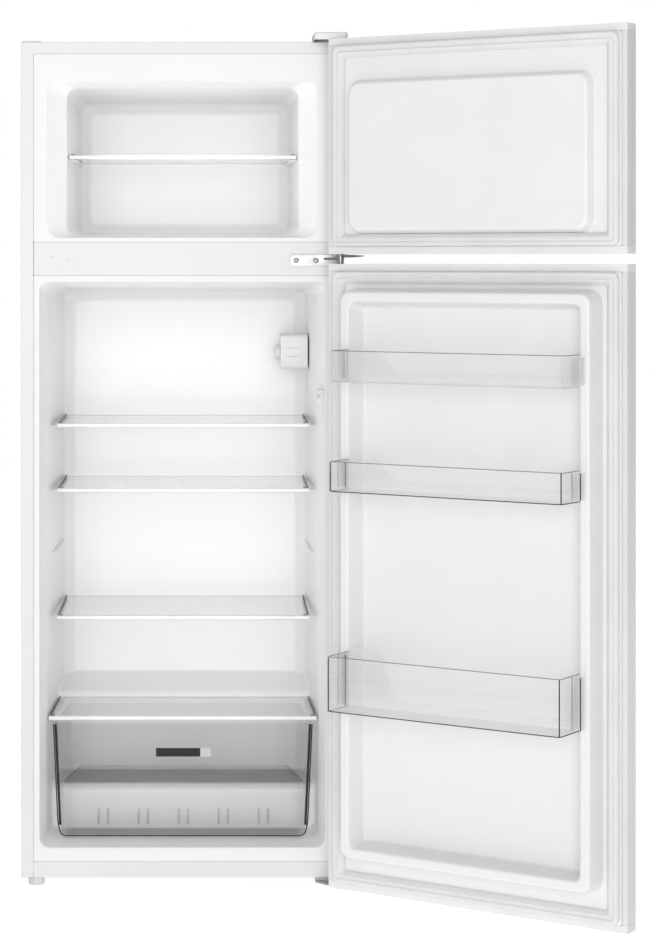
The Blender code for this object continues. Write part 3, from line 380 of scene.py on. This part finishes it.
def bracket_plan(side, half, end, back):
    """Plan of the channel at a bin's end that slides onto the door liner's rim."""
    near, far, deep, sheet = half - 0.004, end - 0.004, back + 0.0170, 0.0016
    outer = [(near, deep), (far, deep), (far, back + 0.0002), (half + 0.002, back + 0.0002)]
    inner = [
        (near, deep - sheet), (far - sheet, deep - sheet), (far - sheet, back + 0.0018),
        (half + 0.002, back + 0.0018)
    ]
    outer, inner = ([(side * x, y) for x, y in line] for line in (outer, inner))
    return [*fillet(outer, 0.002, 3), *reversed(fillet(inner, 0.001, 3))]


def add_bin(name, guard, rim_made, foot_made):
    """A clear door bin: a tray of thin walls, a channel at each end and fine lines along its cut edges."""
    node = f"door_bin_{name}"
    low, high = closed_box(node)
    half, end, back, front = high.x - 0.0145, high.x, low.y, high.y
    floor = rounded(0.0005 - half, half - 0.0005, back, front - 0.0005, 0.007)
    step = high.z - (high.z - low.z) * 0.4  # the front wall steps in a little above this height
    walls = [
        bin_wall(half, front, back, low.z + 0.0005, step + 0.0003),
        bin_wall(half - 0.0003, front - 0.0010, back, step - 0.001, high.z),
        prism(bin_back(half - 0.0002, low.z + 0.0004, high.z, guard), "y", back + 0.0001, back + CLEAR_WALL)
    ]
    tray = carve(node, prism(floor, "z", low.z, low.z + 0.0020), (), walls)
    door_piece(f"{node}_tray", tray, "fridge", "clear_plastic", CLEAR, node, smooth=30)
    channel = (low.z + 0.004, high.z - 0.003)
    brackets = [(bracket_plan(side, half, end, back), "z", *channel) for side in (-1, 1)]
    door_piece(f"{node}_brackets", prisms(*brackets), "fridge", "clear_plastic", SMOKE, smooth=30)

    front_line = bin_front(half, front, back, BIN_CORNER)
    rim = [(x, y - 0.0008, high.z) for x, y in front_line]
    foot = [(x, y - 0.0004, low.z + 0.0006) for x, y in front_line]
    inset, tall = 0.0012, (low.z + 0.001, high.z - 0.0004)
    posts = [[(side * (half - inset), front - inset, z) for z in tall] for side in (-1, 1)]
    for side in (-1, 1):
        posts += [[(side * (x - 0.0040), back + 0.0166, z) for z in channel] for x in (end, half)]
    rows = (
        ("rim", [rim], 0.7, rim_made), ("foot", [foot], 0.8, foot_made), ("posts", posts, 1.0, foot_made)
    )
    for part, lines, share, made in rows:
        door_piece(f"{node}_{part}", rods(lines, EDGE_ROD * share), "fridge", "clear_plastic", made)


add_bin("top", 0.002, GREY_EDGE, PALE_EDGE)
add_bin("middle", 0.006, GREY_EDGE, DARK_EDGE)
add_bin("bottom", 0.016, GREY_EDGE, DARK_EDGE)


# ---------------------------------------------------------------- cabinet liners
GAP = 0.0003
LINER_WALL = 0.0015
STRIP_HALF = HALF_WIDTH - 0.0218
# Each compartment from its mouth inwards: depth, half width, low, high, corner radius.
FREEZER_WALL = (
    (0.000, 0.2293, 1.1070, 1.3736, 0.020),
    (0.030, 0.1976, 1.1110, 1.3624, 0.017),
    (0.350, 0.1910, 1.1160, 1.3560, 0.017),
    (0.372, 0.1740, 1.1330, 1.3390, 0.012),
)
FRIDGE_WALL = (
    (0.000, 0.2434, 0.0690, 1.0315, 0.016),
    (0.055, 0.2330, 0.0735, 1.0230, 0.016),
    (0.375, 0.2240, 0.0780, 1.0150, 0.016),
    (0.400, 0.2050, 0.0970, 0.9960, 0.012),
)
# The compressor hump in the fridge floor as (depth, height): a low step, then the ledge.
HUMP = (
    (0.1262, -0.02), (0.1292, 0.1418), (0.1392, 0.1518), (0.2602, 0.1518), (0.2602, 0.2768),
    (0.2732, 0.2898), (0.480, 0.3166)
)
SPARE_REST = 0.5557  # height of the rests with no shelf on them
SHELF_NODES = ("shelf_1", "shelf_2", "shelf_3")


def wall_half(walls, depth):
    """Half width of a compartment at a depth."""
    before, after = next(pair for pair in zip(walls, walls[1:]) if pair[0][0] <= depth <= pair[1][0])
    return before[1] + (after[1] - before[1]) * (depth - before[0]) / (after[0] - before[0])


def liner_profile(walls, low, high, bends):
    """Rings from the flange over the lip to the middle of the back wall, as one rounded line of sizes."""
    inset = 0.06
    depth, half, back_low, back_high = walls[-1][:4]
    middle = (depth, half - inset, back_low + inset, back_high - inset, 0.008)
    flange = [(GAP, STRIP_HALF, low, high, 0.003), (GAP, *walls[0][1:])]
    return fillet([*flange, *walls[1:], middle], bends, 5)


def liner_solid(walls, low, high, bends):
    rings = []
    for y, half, z0, z1, radius in [
        (-0.02, STRIP_HALF, low, high, 0), *liner_profile(walls, low, high, bends)
    ]:
        rings.append(lifted(rounded(-half, half, z0, z1, max(radius, 0.003), 8), "y", y))
    return loft(rings)


def add_liner(node, walls, bends, cutters=()):
    """The formed sheet of a compartment: the solid's inner skin without its front, thickened outwards."""
    low, high = drawn_box(node)
    skin = carve(node, liner_solid(walls, low.z, high.z, bends), cutters)
    bmesh.ops.recalc_face_normals(skin, faces=skin.faces)
    front = [face for face in skin.faces if any(vertex.co.y < -0.01 for vertex in face.verts)]
    bmesh.ops.delete(skin, geom=front, context="FACES")
    bmesh.ops.reverse_faces(skin, faces=skin.faces)
    skin.transform(CABINET)
    mesh = bpy.data.meshes.new(f"{node}_skin")
    skin.to_mesh(mesh)
    skin.free()
    mesh.shade_smooth()
    mesh.set_sharp_from_angle(angle=radians(50))
    obj = bpy.data.objects.new(f"{node}_skin", mesh)
    bpy.context.scene.collection.objects.link(obj)
    mesh.materials.append(LINER_INSIDE_PAINTED_LIGHT)
    mesh.materials.append(DOOR_LINER)
    # Faces on the front flange take the plain DOOR_LINER white, and all faces inside keep the copy painted
    # lighter. That is painted light on the inner walls, not a second plastic.
    for face in mesh.polygons:
        if all(mesh.vertices[i].co.y < HOME.y + 0.001 for i in face.vertices):
            face.material_index = 1
    add_bevel(obj, 0.003, 3, 40)
    thickness = obj.modifiers.new("sheet", "SOLIDIFY")
    thickness.thickness, thickness.offset = LINER_WALL, -1
    even_shading(obj)
    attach(obj, "cabinet")
    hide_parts(node)


def ribs(name, walls, width, levels):
    """Shelf rests on both side walls that widen slowly from the front; levels are (top, front, back)."""
    root, lead_in, thick = 0.0005, 0.050, 0.0035
    parts = []
    for side in (-1, 1):
        for top, start, end in levels:
            near, far = wall_half(walls, start) + root, wall_half(walls, end) + root
            inner = far - root - width
            line = [(near, start), (inner, start + lead_in), (inner, end), (far, end + 0.004)]
            parts.append((fillet([(side * x, y) for x, y in line], 0.006), "z", top - thick, top))
    # The rests take the inside liner copy, which is painted lighter as painted light for the inside of the
    # cabinet.
    piece(name, prisms(*parts), "cabinet", "liner", LINER_INSIDE_PAINTED_LIGHT, bevel=0.0008)


def glass_under(name):
    return drawn_box(f"{name}_glass")[0].z - GAP


def hump_cutter():
    return prism([*fillet(HUMP, 0.006, 4), (0.480, -0.02)], "x", -0.4, 0.4)


add_liner("freezer_liner", FREEZER_WALL, (0.0025, 0.004, 0.010, 0.008))
add_liner("fridge_liner", FRIDGE_WALL, (0.004, 0.008, 0.010, 0.008), [hump_cutter()])
shelf_levels = [(glass_under(name), 0.125, 0.362) for name in SHELF_NODES]
ribs("fridge_shelf_ribs", FRIDGE_WALL, 0.011, shelf_levels)
ribs("fridge_spare_ribs", FRIDGE_WALL, 0.004, [(SPARE_REST, 0.125, 0.362)])
ribs("crisper_cover_ribs", FRIDGE_WALL, 0.011, [(glass_under("crisper_cover"), 0.066, 0.250)])
ribs("freezer_shelf_ribs", FREEZER_WALL, 0.007, [(glass_under("freezer_shelf"), 0.066, 0.330)])


# ---------------------------------------------------------------- crisper and shelves
DRAWER_WALL = 0.0022
DRAWER_TAPER = 0.35  # share of its width that the crisper loses per metre of depth
STEP_PLACE = 0.1265  # the crisper's floor rises here
STEP_HEIGHT = 0.1555
RIDGE_PITCH = 0.070


def drawer_rings(box, wall, low, high):
    """Level rings of the crisper, narrower towards its floor and its back; wall insets them."""
    half = box[1].x - 0.0002
    sizes = [
        (low, half - 0.030, 0.020, 0.020), (low + 0.0006, half - 0.0115, 0.002, 0.010),
        (low + 0.022, half - 0.0080, 0, 0), (high, half, 0, 0)
    ]
    rings = []
    for z, wide, front, back in fillet(sizes, 0.006, 5):
        near, far = box[0].y + front + wall, box[1].y - back - wall
        points = rounded(wall - wide, wide - wall, near, far, 0.014 - wall, 10)
        rings.append([(x * (1 - DRAWER_TAPER * (y - box[0].y)), y, z) for x, y in points])
    return rings


def step_cutter(place, height, radius):
    """Everything below the crisper's raised rear floor."""
    beyond = 0.4
    return prism(
        fillet([(beyond, height), (place, height), (place, 0.0), (beyond, 0.0)], radius), "x", -0.3, 0.3
    )


def crisper_piece(name, bm, slot, made, *replaced, **looks):
    piece(f"crisper_{name}", bm, "crisper", slot, made, replaced, **looks)


def add_crisper():
    box = drawn_box("crisper_drawer")
    low, high = box[0].z, box[1].z
    outer = loft(drawer_rings(box, 0, low, high))
    inside = loft(drawer_rings(box, DRAWER_WALL, low + DRAWER_WALL, high + 0.02))
    raised = step_cutter(STEP_PLACE - DRAWER_WALL, STEP_HEIGHT + DRAWER_WALL, 0.006)
    inside = carve("crisper_inside", inside, [raised])
    tray = carve("crisper", outer, [step_cutter(STEP_PLACE, STEP_HEIGHT, 0.005), inside])
    crisper_piece("tray", tray, "smoke_plastic", SMOKE, "crisper_drawer", smooth=35)

    front, half = box[0].y, box[1].x
    rim_y = front + 0.0012
    corner = fillet(
        [
            (half - 0.0006, 0, high - 0.001), (half - 0.0082, 0, low + 0.024),
            (half - 0.0135, 0, low + 0.0014), (0, 0, low + 0.0014)
        ],
        0.010
    )
    right = [(x, rim_y + (0.002 if z < low + 0.01 else 0), z) for x, _, z in corner]
    left = [(-x, y, z) for x, y, z in reversed(right)]
    crisper_piece("front_edge", rods([[*right, *left[1:]]], 0.0011), "smoke_plastic", DARK_EDGE)
    sides = []
    for side in (-1, 1):
        top = (side * (half - 0.0040), front + 0.0048, high - 0.002)
        sides.append([top, (side * (half - 0.0120), front + 0.0058, low + 0.020)])
    crisper_piece("side_bands", rods(sides, 0.0021, 10), "smoke_plastic", DARK_EDGE)

    riser, shelf_z, far = STEP_PLACE - 0.0024, STEP_HEIGHT + DRAWER_WALL, box[1].y - 0.006
    step_half = (half - 0.006) * (1 - DRAWER_TAPER * (riser - front)) - 0.003
    far_half = (half - 0.006) * (1 - DRAWER_TAPER * (far - front)) - 0.016
    near = [(side * step_half, riser, shelf_z) for side in (-1, 1)]
    back = [(side * far_half, far, shelf_z + 0.0006) for side in (-1, 1)]
    crisper_piece("step_nose", rods([near], 0.0006), "smoke_plastic", GREY_EDGE)
    crisper_piece("step_sides", rods(zip(near, back), 0.0005), "smoke_plastic", DARK_EDGE)
    crisper_piece("step_back", rods([back], 0.0006), "smoke_plastic", PALE_EDGE)

    ridges = []
    for number in range(5):
        middle = (number - 2) * RIDGE_PITCH
        for x in (middle - 0.008, middle + 0.008):
            ridges.append([(x, riser - 0.0006, z) for z in (low + 0.006, low + 0.032)])
    crisper_piece("riser_ridges", rods(ridges, 0.0011), "smoke_plastic", PALE_EDGE)

    label_z, proud = (0.2149, 0.2295), (front - 0.0004, front + 0.0004)
    plate = prism(rounded(-0.0461, 0.0300, *label_z, 0.0010), "y", *proud)
    crisper_piece("label", plate, "black_plastic", BLACK_PLASTIC)
    square = prism(rounded(0.0306, 0.0485, *label_z, 0.0010), "y", *proud)
    crisper_piece("label_square", square, "foot_plastic", PALE_EDGE)


def add_shelf(name, back_half):
    """A shelf's trim with a rounded nose and end lugs, and fine lines along the cut edges of its glass."""
    glass, trim = drawn_box(f"{name}_glass"), drawn_box(f"{name}_trim")
    top, under, back = glass[1].z, glass[0].z, glass[1].y
    half, front = glass[1].x, trim[0].y
    rear, face = front + 0.010, front + 0.0002
    nose = [(rear, trim[0].z + 0.001), (face, trim[0].z), (face, trim[1].z), (rear, top + 0.0012)]
    groove = [
        (rear, top + GAP), (glass[0].y - GAP, top + GAP), (glass[0].y - GAP, under - GAP),
        (rear, under - GAP)
    ]
    section = [*fillet(nose, 0.0022, 4), *groove]
    piece(
        f"{name}_nose", prism(section, "x", -half, half), "cabinet", "plastic_white", CLIP_PLASTIC,
        f"{name}_trim", bevel=0.0006
    )
    sides = []
    for side in (-1, 1):
        near, far = side * (half - 0.0006), side * (back_half - 0.0006)
        for z in (top + 0.0002, under - 0.0002):
            sides.append([(near, trim[1].y + 0.0006, z), (far, back - 0.001, z)])
    piece(f"{name}_glass_edges", rods(sides, 0.0011), "cabinet", "glass", DARK_EDGE)
    edge = [(x, back - 0.0006, top - 0.002) for x in (0.001 - back_half, back_half - 0.001)]
    piece(f"{name}_back_edge", rods([edge], 0.0007), "cabinet", "glass", PALE_EDGE)
    line = [(x, front + 0.0012, trim[0].z + 0.0002) for x in (0.001 - half, half - 0.001)]
    piece(f"{name}_nose_line", rods([line], 0.0007), "cabinet", "plastic_white", PALE_EDGE)
    lugs = []
    for middle in (0.006 - half, half - 0.006):
        lugs.append(((middle - 0.004, middle + 0.004), (front + 0.004, front + 0.012), (top, top + 0.0030)))
    piece(f"{name}_lugs", blocks(*lugs), "cabinet", "plastic_white", GREY_EDGE, bevel=0.001)


add_crisper()
for shelf in SHELF_NODES:
    add_shelf(shelf, drawn_box(f"{shelf}_glass")[1].x)
add_shelf("crisper_cover", 0.224)
add_shelf("freezer_shelf", 0.189)


# ---------------------------------------------------------------- door liners and seals
DOOR_SHEET = 0.0009


def door_liner_skin(name, rings):
    """A formed door liner from its edge to its middle, thickened towards the door's foam."""
    surface = bmesh.new()
    loops = [
        [surface.verts.new(point) for point in lifted(rounded(-free, hinge, z0, z1, radius, 8), "y", y)]
        for y, free, hinge, z0, z1, radius in rings
    ]
    for first, second in zip(loops, loops[1:]):
        for i in range(len(first)):
            j = (i + 1) % len(first)
            surface.faces.new((first[i], first[j], second[j], second[i]))
    surface.faces.new(loops[-1])
    obj = door_piece(
        f"{name}_door_liner_skin", surface, name, "liner", DOOR_LINER, f"{name}_door_liner", smooth=50
    )
    sheet = obj.modifiers.new("sheet", "SOLIDIFY")
    sheet.thickness, sheet.offset = DOOR_SHEET, -1
    even_shading(obj)


def liner_edge(name):
    low, high = closed_box(f"{name}_door_liner")
    return low.z, high.z, high.x


def add_freezer_door_liner():
    low, high, edge = liner_edge("freezer")
    base, top = DOOR_FACE, closed_box("freezer_door_liner")[1].y
    half, z0, z1 = PANEL
    free, hinge = half - PANEL_SHIFT, half + PANEL_SHIFT
    rings = [
        (base, edge, edge, low, high, 0.003),
        (base, free + 0.006, hinge + 0.006, z0 - 0.006, z1 + 0.006, 0.022),
        (top, free, hinge, z0, z1, 0.018),
        (top - 0.0004, free - 0.10, hinge - 0.10, z0 + 0.08, z1 - 0.08, 0.010)
    ]
    door_liner_skin("freezer", fillet(rings, [0.003, 0.006], 5))
    z_lines = [z0 + (z1 - z0) * share for share in (0.31, 0.72)]
    lines = [[(-0.075, top + 0.0001, z), (0.080, top + 0.0001, z)] for z in z_lines]
    door_piece("freezer_door_ribs", rods(lines, 0.0009), "freezer", "liner", DOOR_LINER)
    middle = sum(z_lines) / 2
    plate = prism(
        rounded(-0.017, 0.048, middle - 0.0105, middle + 0.0105, 0.002), "y", top - 0.0012, top + 0.0003
    )
    door_piece("freezer_door_badge_field", plate, "freezer", "liner", DOOR_LINER)


def add_fridge_door_liner():
    low, high, edge = liner_edge("fridge")
    base, top = DOOR_FACE, closed_box("fridge_door_liner")[1].y
    half, z0, z1 = DYKE
    inner, sink = half - DYKE_THICK, base + 0.002
    steps = [
        (base, edge, low, high, 0.003),
        (base, half + 0.003, z0 - 0.003, z1 + 0.003, 0.020),
        (top, half - 0.002, z0 + 0.002, z1 - 0.002, 0.016),
        (top, inner, z0 + DYKE_THICK, z1 - DYKE_THICK, 0.012),
        (sink, inner - 0.008, z0 + 0.025, z1 - 0.025, 0.010),
        (sink, inner - 0.10, z0 + 0.12, z1 - 0.12, 0.008)
    ]
    rings = [(y, wide, wide, *rest) for y, wide, *rest in steps]
    door_liner_skin("fridge", fillet(rings, [0.003, 0.006, 0.005, 0.008], 5))


def add_seal(name):
    """The folded magnetic seal: two rolled lips with a groove between them, mitred round the door."""
    low, high = closed_box(f"{name}_door_gasket")
    width, base, face = SEAL_WIDTH, low.y, high.y
    section = [
        (0.002, base), (0.0, base + 0.004), (0.0008, face - 0.002), (0.003, face), (0.0072, face),
        (0.0084, face - 0.0022), (0.0110, face - 0.0022), (0.0122, face), (width - 0.007, face),
        (width - 0.003, face - 0.0035), (width, base + 0.003)
    ]
    rings = []
    for inset, y in [*fillet(section, 0.0012, 3), (width - 0.002, base)]:
        outline = rounded(
            low.x + inset, high.x - inset, low.z + inset, high.z - inset, max(0.012 - inset, 0.003), 6
        )
        rings.append(lifted(outline, "y", y))
    door_piece(f"{name}_door_seal", loft(rings, closed=True), name, "gasket", SEAL, f"{name}_door_gasket")


DOOR_FACE = closed_box("freezer_door_gasket")[0].y - GAP
SEAL_WIDTH = 0.021
# The freezer door's raised panel and the fridge door's raised rim: half width, low, high.
PANEL = (0.2170, 1.1190, 1.3620)
DYKE = (0.2280, 0.0800, 1.0180)
DYKE_THICK = 0.017
PANEL_SHIFT = 0.007  # the freezer door's panel sits nearer the hinge
add_freezer_door_liner()
add_fridge_door_liner()
add_seal("freezer")
add_seal("fridge")


# ---------------------------------------------------------------- hinges, screws, caps
def screw(name, centre, axis, radius, height):
    """A pan head with a cross recess; axis is the way its head faces, such as "-y"."""
    sign, letter = (-1 if axis[0] == "-" else 1), axis[-1]
    order = {"x": (1, 2, 0), "y": (0, 2, 1), "z": (0, 1, 2)}[letter]
    u, v, base = (centre[i] for i in order)
    profile = [(radius, 0), (radius, height * 0.6), (radius * 0.6, height), (radius * 0.3, height)]
    rings = fillet(profile, radius * 0.2, 3)
    head = loft([lifted(circle(u, v, r, 24), letter, base + sign * h) for r, h in rings])
    slot, length = radius * 0.16, radius * 0.62
    reach = (base + sign * height * 0.45, base + sign * height * 1.6)
    arms = [rectangle(u - a, u + a, v - b, v + b) for a, b in ((slot, length), (length, slot))]
    head = carve(name, head, [prism(arm, letter, *reach) for arm in arms])
    piece(name, head, "cabinet", "zinc", SCREW_STEEL)


def add_hinge_details():
    start, plate_z = drawn_box("middle_hinge")[0].x, 1.0682
    for number, x in enumerate((start + 0.0095, start + 0.0430), 1):
        screw(f"middle_hinge_screw_{number}", (x, -0.0026, plate_z), "-y", 0.0044, 0.0026)
    screw("bottom_hinge_screw", (0.2352, 0.0060, drawn_box("bottom_hinge")[0].z), "-z", 0.0042, 0.0030)
    reaches = ((0.006, 1.0729), (0.006, 1.0785), (0.046, 1.0765), (0.046, 1.0752), (0.030, 1.0736))
    stop = [(PIN.x - reach, z) for reach, z in reaches]
    arm = prism(stop, "y", PIN.y - 0.0012, PIN.y + 0.0012)
    door_piece("freezer_door_stop", arm, "freezer", "zinc", SCREW_STEEL, bevel=0.0003)
    section = ((0.0062, -0.0004), (0.0062, 0.0002), (0.0046, 0.0002), (0.0046, -0.0004))
    for name in ("freezer", "fridge"):
        top = closed_box(f"{name}_door_skin")[1].z
        ring = [lifted(circle(PIN.x, PIN.y, radius, 24), "z", top + rise) for radius, rise in section]
        door_piece(f"{name}_door_bush", loft(ring, closed=True), name, "plastic_white", FOOT)


def add_mullion_plugs():
    profile = fillet([(0.0032, 0.0004), (0.0032, -0.0006), (0.0012, -0.0010)], 0.0004, 3)
    for number, (x, z) in enumerate(((-0.2221, 1.0724), (-0.1966, 1.0673)), 1):
        rings = [lifted(circle(x, z, radius, 24), "y", y) for radius, y in profile]
        piece(f"mullion_plug_{number}", loft(rings), "cabinet", "plastic_white", WHITE_PLASTIC)


def add_blanking_cap():
    """Closes the hinge holes on the side where the doors aren't hung."""
    outline = rounded(-0.2735, -0.2410, 0.004, 0.034, 0.005)
    inset = rounded(-0.2725, -0.2420, 0.005, 0.033, 0.0045)
    levels = ((outline, 0.0), (outline, 0.0014), (inset, 0.0022))
    cap = loft([lifted(line, "z", CABINET_TOP + rise) for line, rise in levels])
    piece("top_blanking_cap", cap, "cabinet", "plastic_white", WHITE_PLASTIC)


def add_control_details():
    low = drawn_box("control_box")[0]
    slots = [
        ((low.x + 0.009, low.x + 0.034), (low.y - 0.0003, low.y + 0.0005), (z, z + 0.0012))
        for z in (low.z + 0.022, low.z + 0.037)
    ]
    piece("control_box_slots", blocks(*slots), "cabinet", "plastic_white", PALE_EDGE, bevel=0.0002)
    knob = drawn_box("thermostat_knob")
    middle, radius, count = (knob[0] + knob[1]) / 2, 0.0141, 20
    grips = []
    for step in range(count):
        angle = step * 2 * pi / count
        y, z = middle.y + radius * cos(angle), middle.z + radius * sin(angle)
        grips.append([(low.x - 0.0012, y, z), (low.x - 0.0075, y, z)])
    piece("thermostat_knob_grips", rods(grips, 0.0005, 6), "thermostat", "plastic_white", WHITE_PLASTIC)


def add_door_slots():
    """Small dark drain slots at the hinge corners of the fridge door's liner."""
    edge = liner_edge("fridge")[2]
    half, proud = 0.0032, (DOOR_FACE - 0.0002, DOOR_FACE + 0.0002)
    for number, z in enumerate((DYKE[1] + 0.004, DYKE[2] + 0.006), 1):
        slot = prism(rounded(edge - 0.0215, edge - 0.0190, z - half, z + half, 0.001), "y", *proud)
        door_piece(f"fridge_door_slot_{number}", slot, "fridge", "black_plastic", BLACK_PLASTIC)


add_hinge_details()
add_mullion_plugs()
add_blanking_cap()
add_control_details()
add_door_slots()


# ---------------------------------------------------------------- back of the cabinet
def add_condenser_wires():
    """Wires welded across both sides of the condenser's runs, and its four brackets."""
    tube_radius, radius, reach, count = 0.0025, 0.0007, 0.200, 34
    middle = drawn_box("condenser_coil")[1].y - tube_radius
    lines = []
    for number in range(count):
        x = -reach + 2 * reach * number / (count - 1)
        for side in (-1, 1):
            y = middle + side * (tube_radius + radius)
            lines.append([(x, y, 0.292), (x, y, 1.308)])
    piece("condenser_wires", rods(lines, radius, 6), "cabinet", "black_paint", BLACK_PAINT)
    brackets, screws = [], []
    panel, sheet = drawn_box("back_panel")[1].y, 0.0012
    for side in (-1, 1):
        for z in (0.345, 1.255):
            x = side * 0.2235
            web = x - side * 0.008
            brackets.append(((x - 0.010, x + 0.010), (panel, panel + sheet), (z - 0.012, z + 0.012)))
            brackets.append(((web - sheet, web + sheet), (panel, middle), (z - 0.008, z + 0.008)))
            screws.append((x + side * 0.003, panel + sheet, z))
    piece("condenser_brackets", blocks(*brackets), "cabinet", "black_paint", BLACK_PAINT, bevel=0.0003)
    for number, centre in enumerate(screws, 1):
        screw(f"condenser_screw_{number}", centre, "y", 0.0038, 0.0020)


def add_panel_seams():
    """Pressed stiffening beads of the back sheet, and its six screws."""
    panel = drawn_box("back_panel")[1].y
    buried = panel - 0.0002
    lines = [[(-0.235, buried, z), (0.235, buried, z)] for z in (0.255, 1.345)]
    lines += [[(x, buried, 0.262), (x, buried, 1.338)] for x in (-0.245, 0.245)]
    piece("back_panel_beads", rods(lines, 0.0018, 8), "cabinet", "back_sheet", BACK_PAINT)
    places = [(x, panel, z) for z in (0.30, 0.84, 1.40) for x in (-0.262, 0.262)]
    for number, centre in enumerate(places, 1):
        screw(f"back_panel_screw_{number}", centre, "y", 0.0036, 0.0018)


def add_compressor_details():
    low, high = drawn_box("compressor")
    centre = (low + high) / 2
    seam = low.z + (high.z - low.z) * 0.52
    outline = circle(centre.x, centre.y, COMPRESSOR_RADIUS, 48)
    rings = []
    for step in range(12):
        angle = step * pi / 6
        scale, z = 1.028 + 0.014 * cos(angle), seam + 0.0016 * sin(angle)
        rings.append([
            (centre.x + (u - centre.x) * scale, centre.y + (v - centre.y) * scale, z) for u, v in outline
        ])
    piece("compressor_seam", loft(rings, closed=True), "cabinet", "black_paint", BLACK_PAINT)
    low, high = drawn_box("start_relay")
    screw("start_relay_screw", ((low.x + high.x) / 2, high.y, (low.z + high.z) / 2), "y", 0.003, 0.0015)


# ---------------------------------------------------------------- finish of the CAD pieces that stay
def shading_nodes(name, angle):
    """Joins the split points of an imported mesh and shades it smooth but for edges sharper than angle."""
    tree = bpy.data.node_groups.new(name, "GeometryNodeTree")
    for way in ("INPUT", "OUTPUT"):
        tree.interface.new_socket("Geometry", in_out=way, socket_type="NodeSocketGeometry")
    entry, leave = tree.nodes.new("NodeGroupInput"), tree.nodes.new("NodeGroupOutput")
    weld = tree.nodes.new("GeometryNodeMergeByDistance")
    smooth, sharp = (tree.nodes.new("GeometryNodeSetShadeSmooth") for _ in range(2))
    weld.inputs["Distance"].default_value = 0.00002
    bend, steep = tree.nodes.new("GeometryNodeInputMeshEdgeAngle"), tree.nodes.new("FunctionNodeCompare")
    steep.operation, steep.inputs["B"].default_value = "GREATER_THAN", angle
    sharp.domain, sharp.inputs["Shade Smooth"].default_value = "EDGE", False
    tree.links.new(entry.outputs["Geometry"], weld.inputs["Geometry"])
    tree.links.new(weld.outputs["Geometry"], smooth.inputs["Geometry"])
    tree.links.new(smooth.outputs["Geometry"], sharp.inputs["Geometry"])
    tree.links.new(bend.outputs["Unsigned Angle"], steep.inputs["A"])
    tree.links.new(steep.outputs["Result"], sharp.inputs["Selection"])
    tree.links.new(sharp.outputs["Geometry"], leave.inputs["Geometry"])
    return tree


SHADING = shading_nodes("joined_shading", radians(34))
EDGE_ROUNDING = {
    0.0003: ("middle_hinge", "top_hinge", "bottom_hinge", "front_foot_left", "front_foot_right"),
    0.0004: ("compressor_support",),
    0.0006: ("thermostat_knob", "drip_tray"),
    0.0008: (
        "mullion_strip", "bottom_rail", "door_switch_body", "freezer_door_top_cap",
        "freezer_door_bottom_cap", "fridge_door_top_cap", "fridge_door_bottom_cap", "start_relay",
        "rear_roller_left", "rear_roller_right", "cord_gland",
    ),
    0.0010: ("cabinet_shell",),
    0.0012: ("top_hinge_cover", "control_box"),
    0.0015: ("freezer_door_grip", "fridge_door_grip"),
}
for node in NODES.values():
    node.modifiers.new("joined_shading", "NODES").node_group = SHADING
for width, names in EDGE_ROUNDING.items():
    for name in names:
        add_bevel(NODES[name], width, 3, 34)

COMPRESSOR_RADIUS = 0.062
add_condenser_wires()
add_panel_seams()
add_compressor_details()


# ---------------------------------------------------------------- studio and camera
def stage_plane(name, outline, axis, height, made):
    plane = bmesh.new()
    plane.faces.new([plane.verts.new(point) for point in lifted(outline, axis, height)])
    obj = new_object(name, plane, Matrix.Identity(4))
    obj.data.materials.append(made)


def area_light(name, place, target, size, power):
    light = bpy.data.lights.new(name, "AREA")
    light.shape, light.size, light.size_y = "RECTANGLE", *size
    light.energy = power
    obj = bpy.data.objects.new(name, light)
    obj.location = place
    obj.rotation_euler = (Vector(target) - Vector(place)).to_track_quat("-Z", "Y").to_euler()
    bpy.context.scene.collection.objects.link(obj)
    return obj


FLOOR = material(
    "studio_floor", (0.40, 0.40, 0.40), (0.6, 0.8), tint=0.01, patch=3, grain=200, bump=0.02,
    Emission_Color=(1, 1, 1, 1), Emission_Strength=0.86
)
stage_plane("floor", rectangle(-9, 9, -9, 9), "z", -0.0005, FLOOR)

bpy.context.scene.view_settings.view_transform = "Standard"
# The world shows white to the camera and lights the object with a dimmer white.
world = bpy.data.worlds.new("studio")
bpy.context.scene.world = world
world.use_nodes = True
sky = world.node_tree
ambient = sky.nodes["Background"]
ambient.inputs["Color"].default_value, ambient.inputs["Strength"].default_value = (1, 1, 1, 1), 0.30
backdrop = sky.nodes.new("ShaderNodeBackground")
backdrop.inputs["Color"].default_value, backdrop.inputs["Strength"].default_value = (1, 1, 1, 1), 1.0
seen = sky.nodes.new("ShaderNodeLightPath")
blend = sky.nodes.new("ShaderNodeMixShader")
sky.links.new(seen.outputs["Is Camera Ray"], blend.inputs["Fac"])
sky.links.new(ambient.outputs["Background"], blend.inputs[1])
sky.links.new(backdrop.outputs["Background"], blend.inputs[2])
sky.links.new(blend.outputs["Shader"], sky.nodes["World Output"].inputs["Surface"])
area_light("front", (-0.3, -4.9, 1.3), (-0.15, 0, 0.75), (3.0, 2.6), 104)
area_light("key", (-2.4, -3.2, 2.8), (-0.15, 0, 0.8), (2.0, 2.0), 10)
GLOWS = (("fridge_glow", 0.60, (0.34, 0.62), 0.20), ("freezer_glow", 1.22, (0.30, 0.16), 0.12))
for name, height, size, power in GLOWS:
    glow = area_light(name, (HOME.x, HOME.y + 0.02, height), (HOME.x, HOME.y + 0.40, height), size, power)
    glow.visible_camera = False
area_light("above", (0, -0.8, 3.8), (0, -0.8, 0), (5.0, 5.0), 34)

CAMERA_HEIGHT = 1.069
camera = bpy.data.objects.new("camera", bpy.data.cameras.new("camera"))
bpy.context.scene.collection.objects.link(camera)
camera.location = (HOME.x + 0.0502, HOME.y - 4.4, CAMERA_HEIGHT)
camera.rotation_euler = (pi / 2, 0, 0)
camera.data.lens = 98.06
camera.data.shift_x, camera.data.shift_y = 0.1228, -0.226
bpy.context.scene.camera = camera
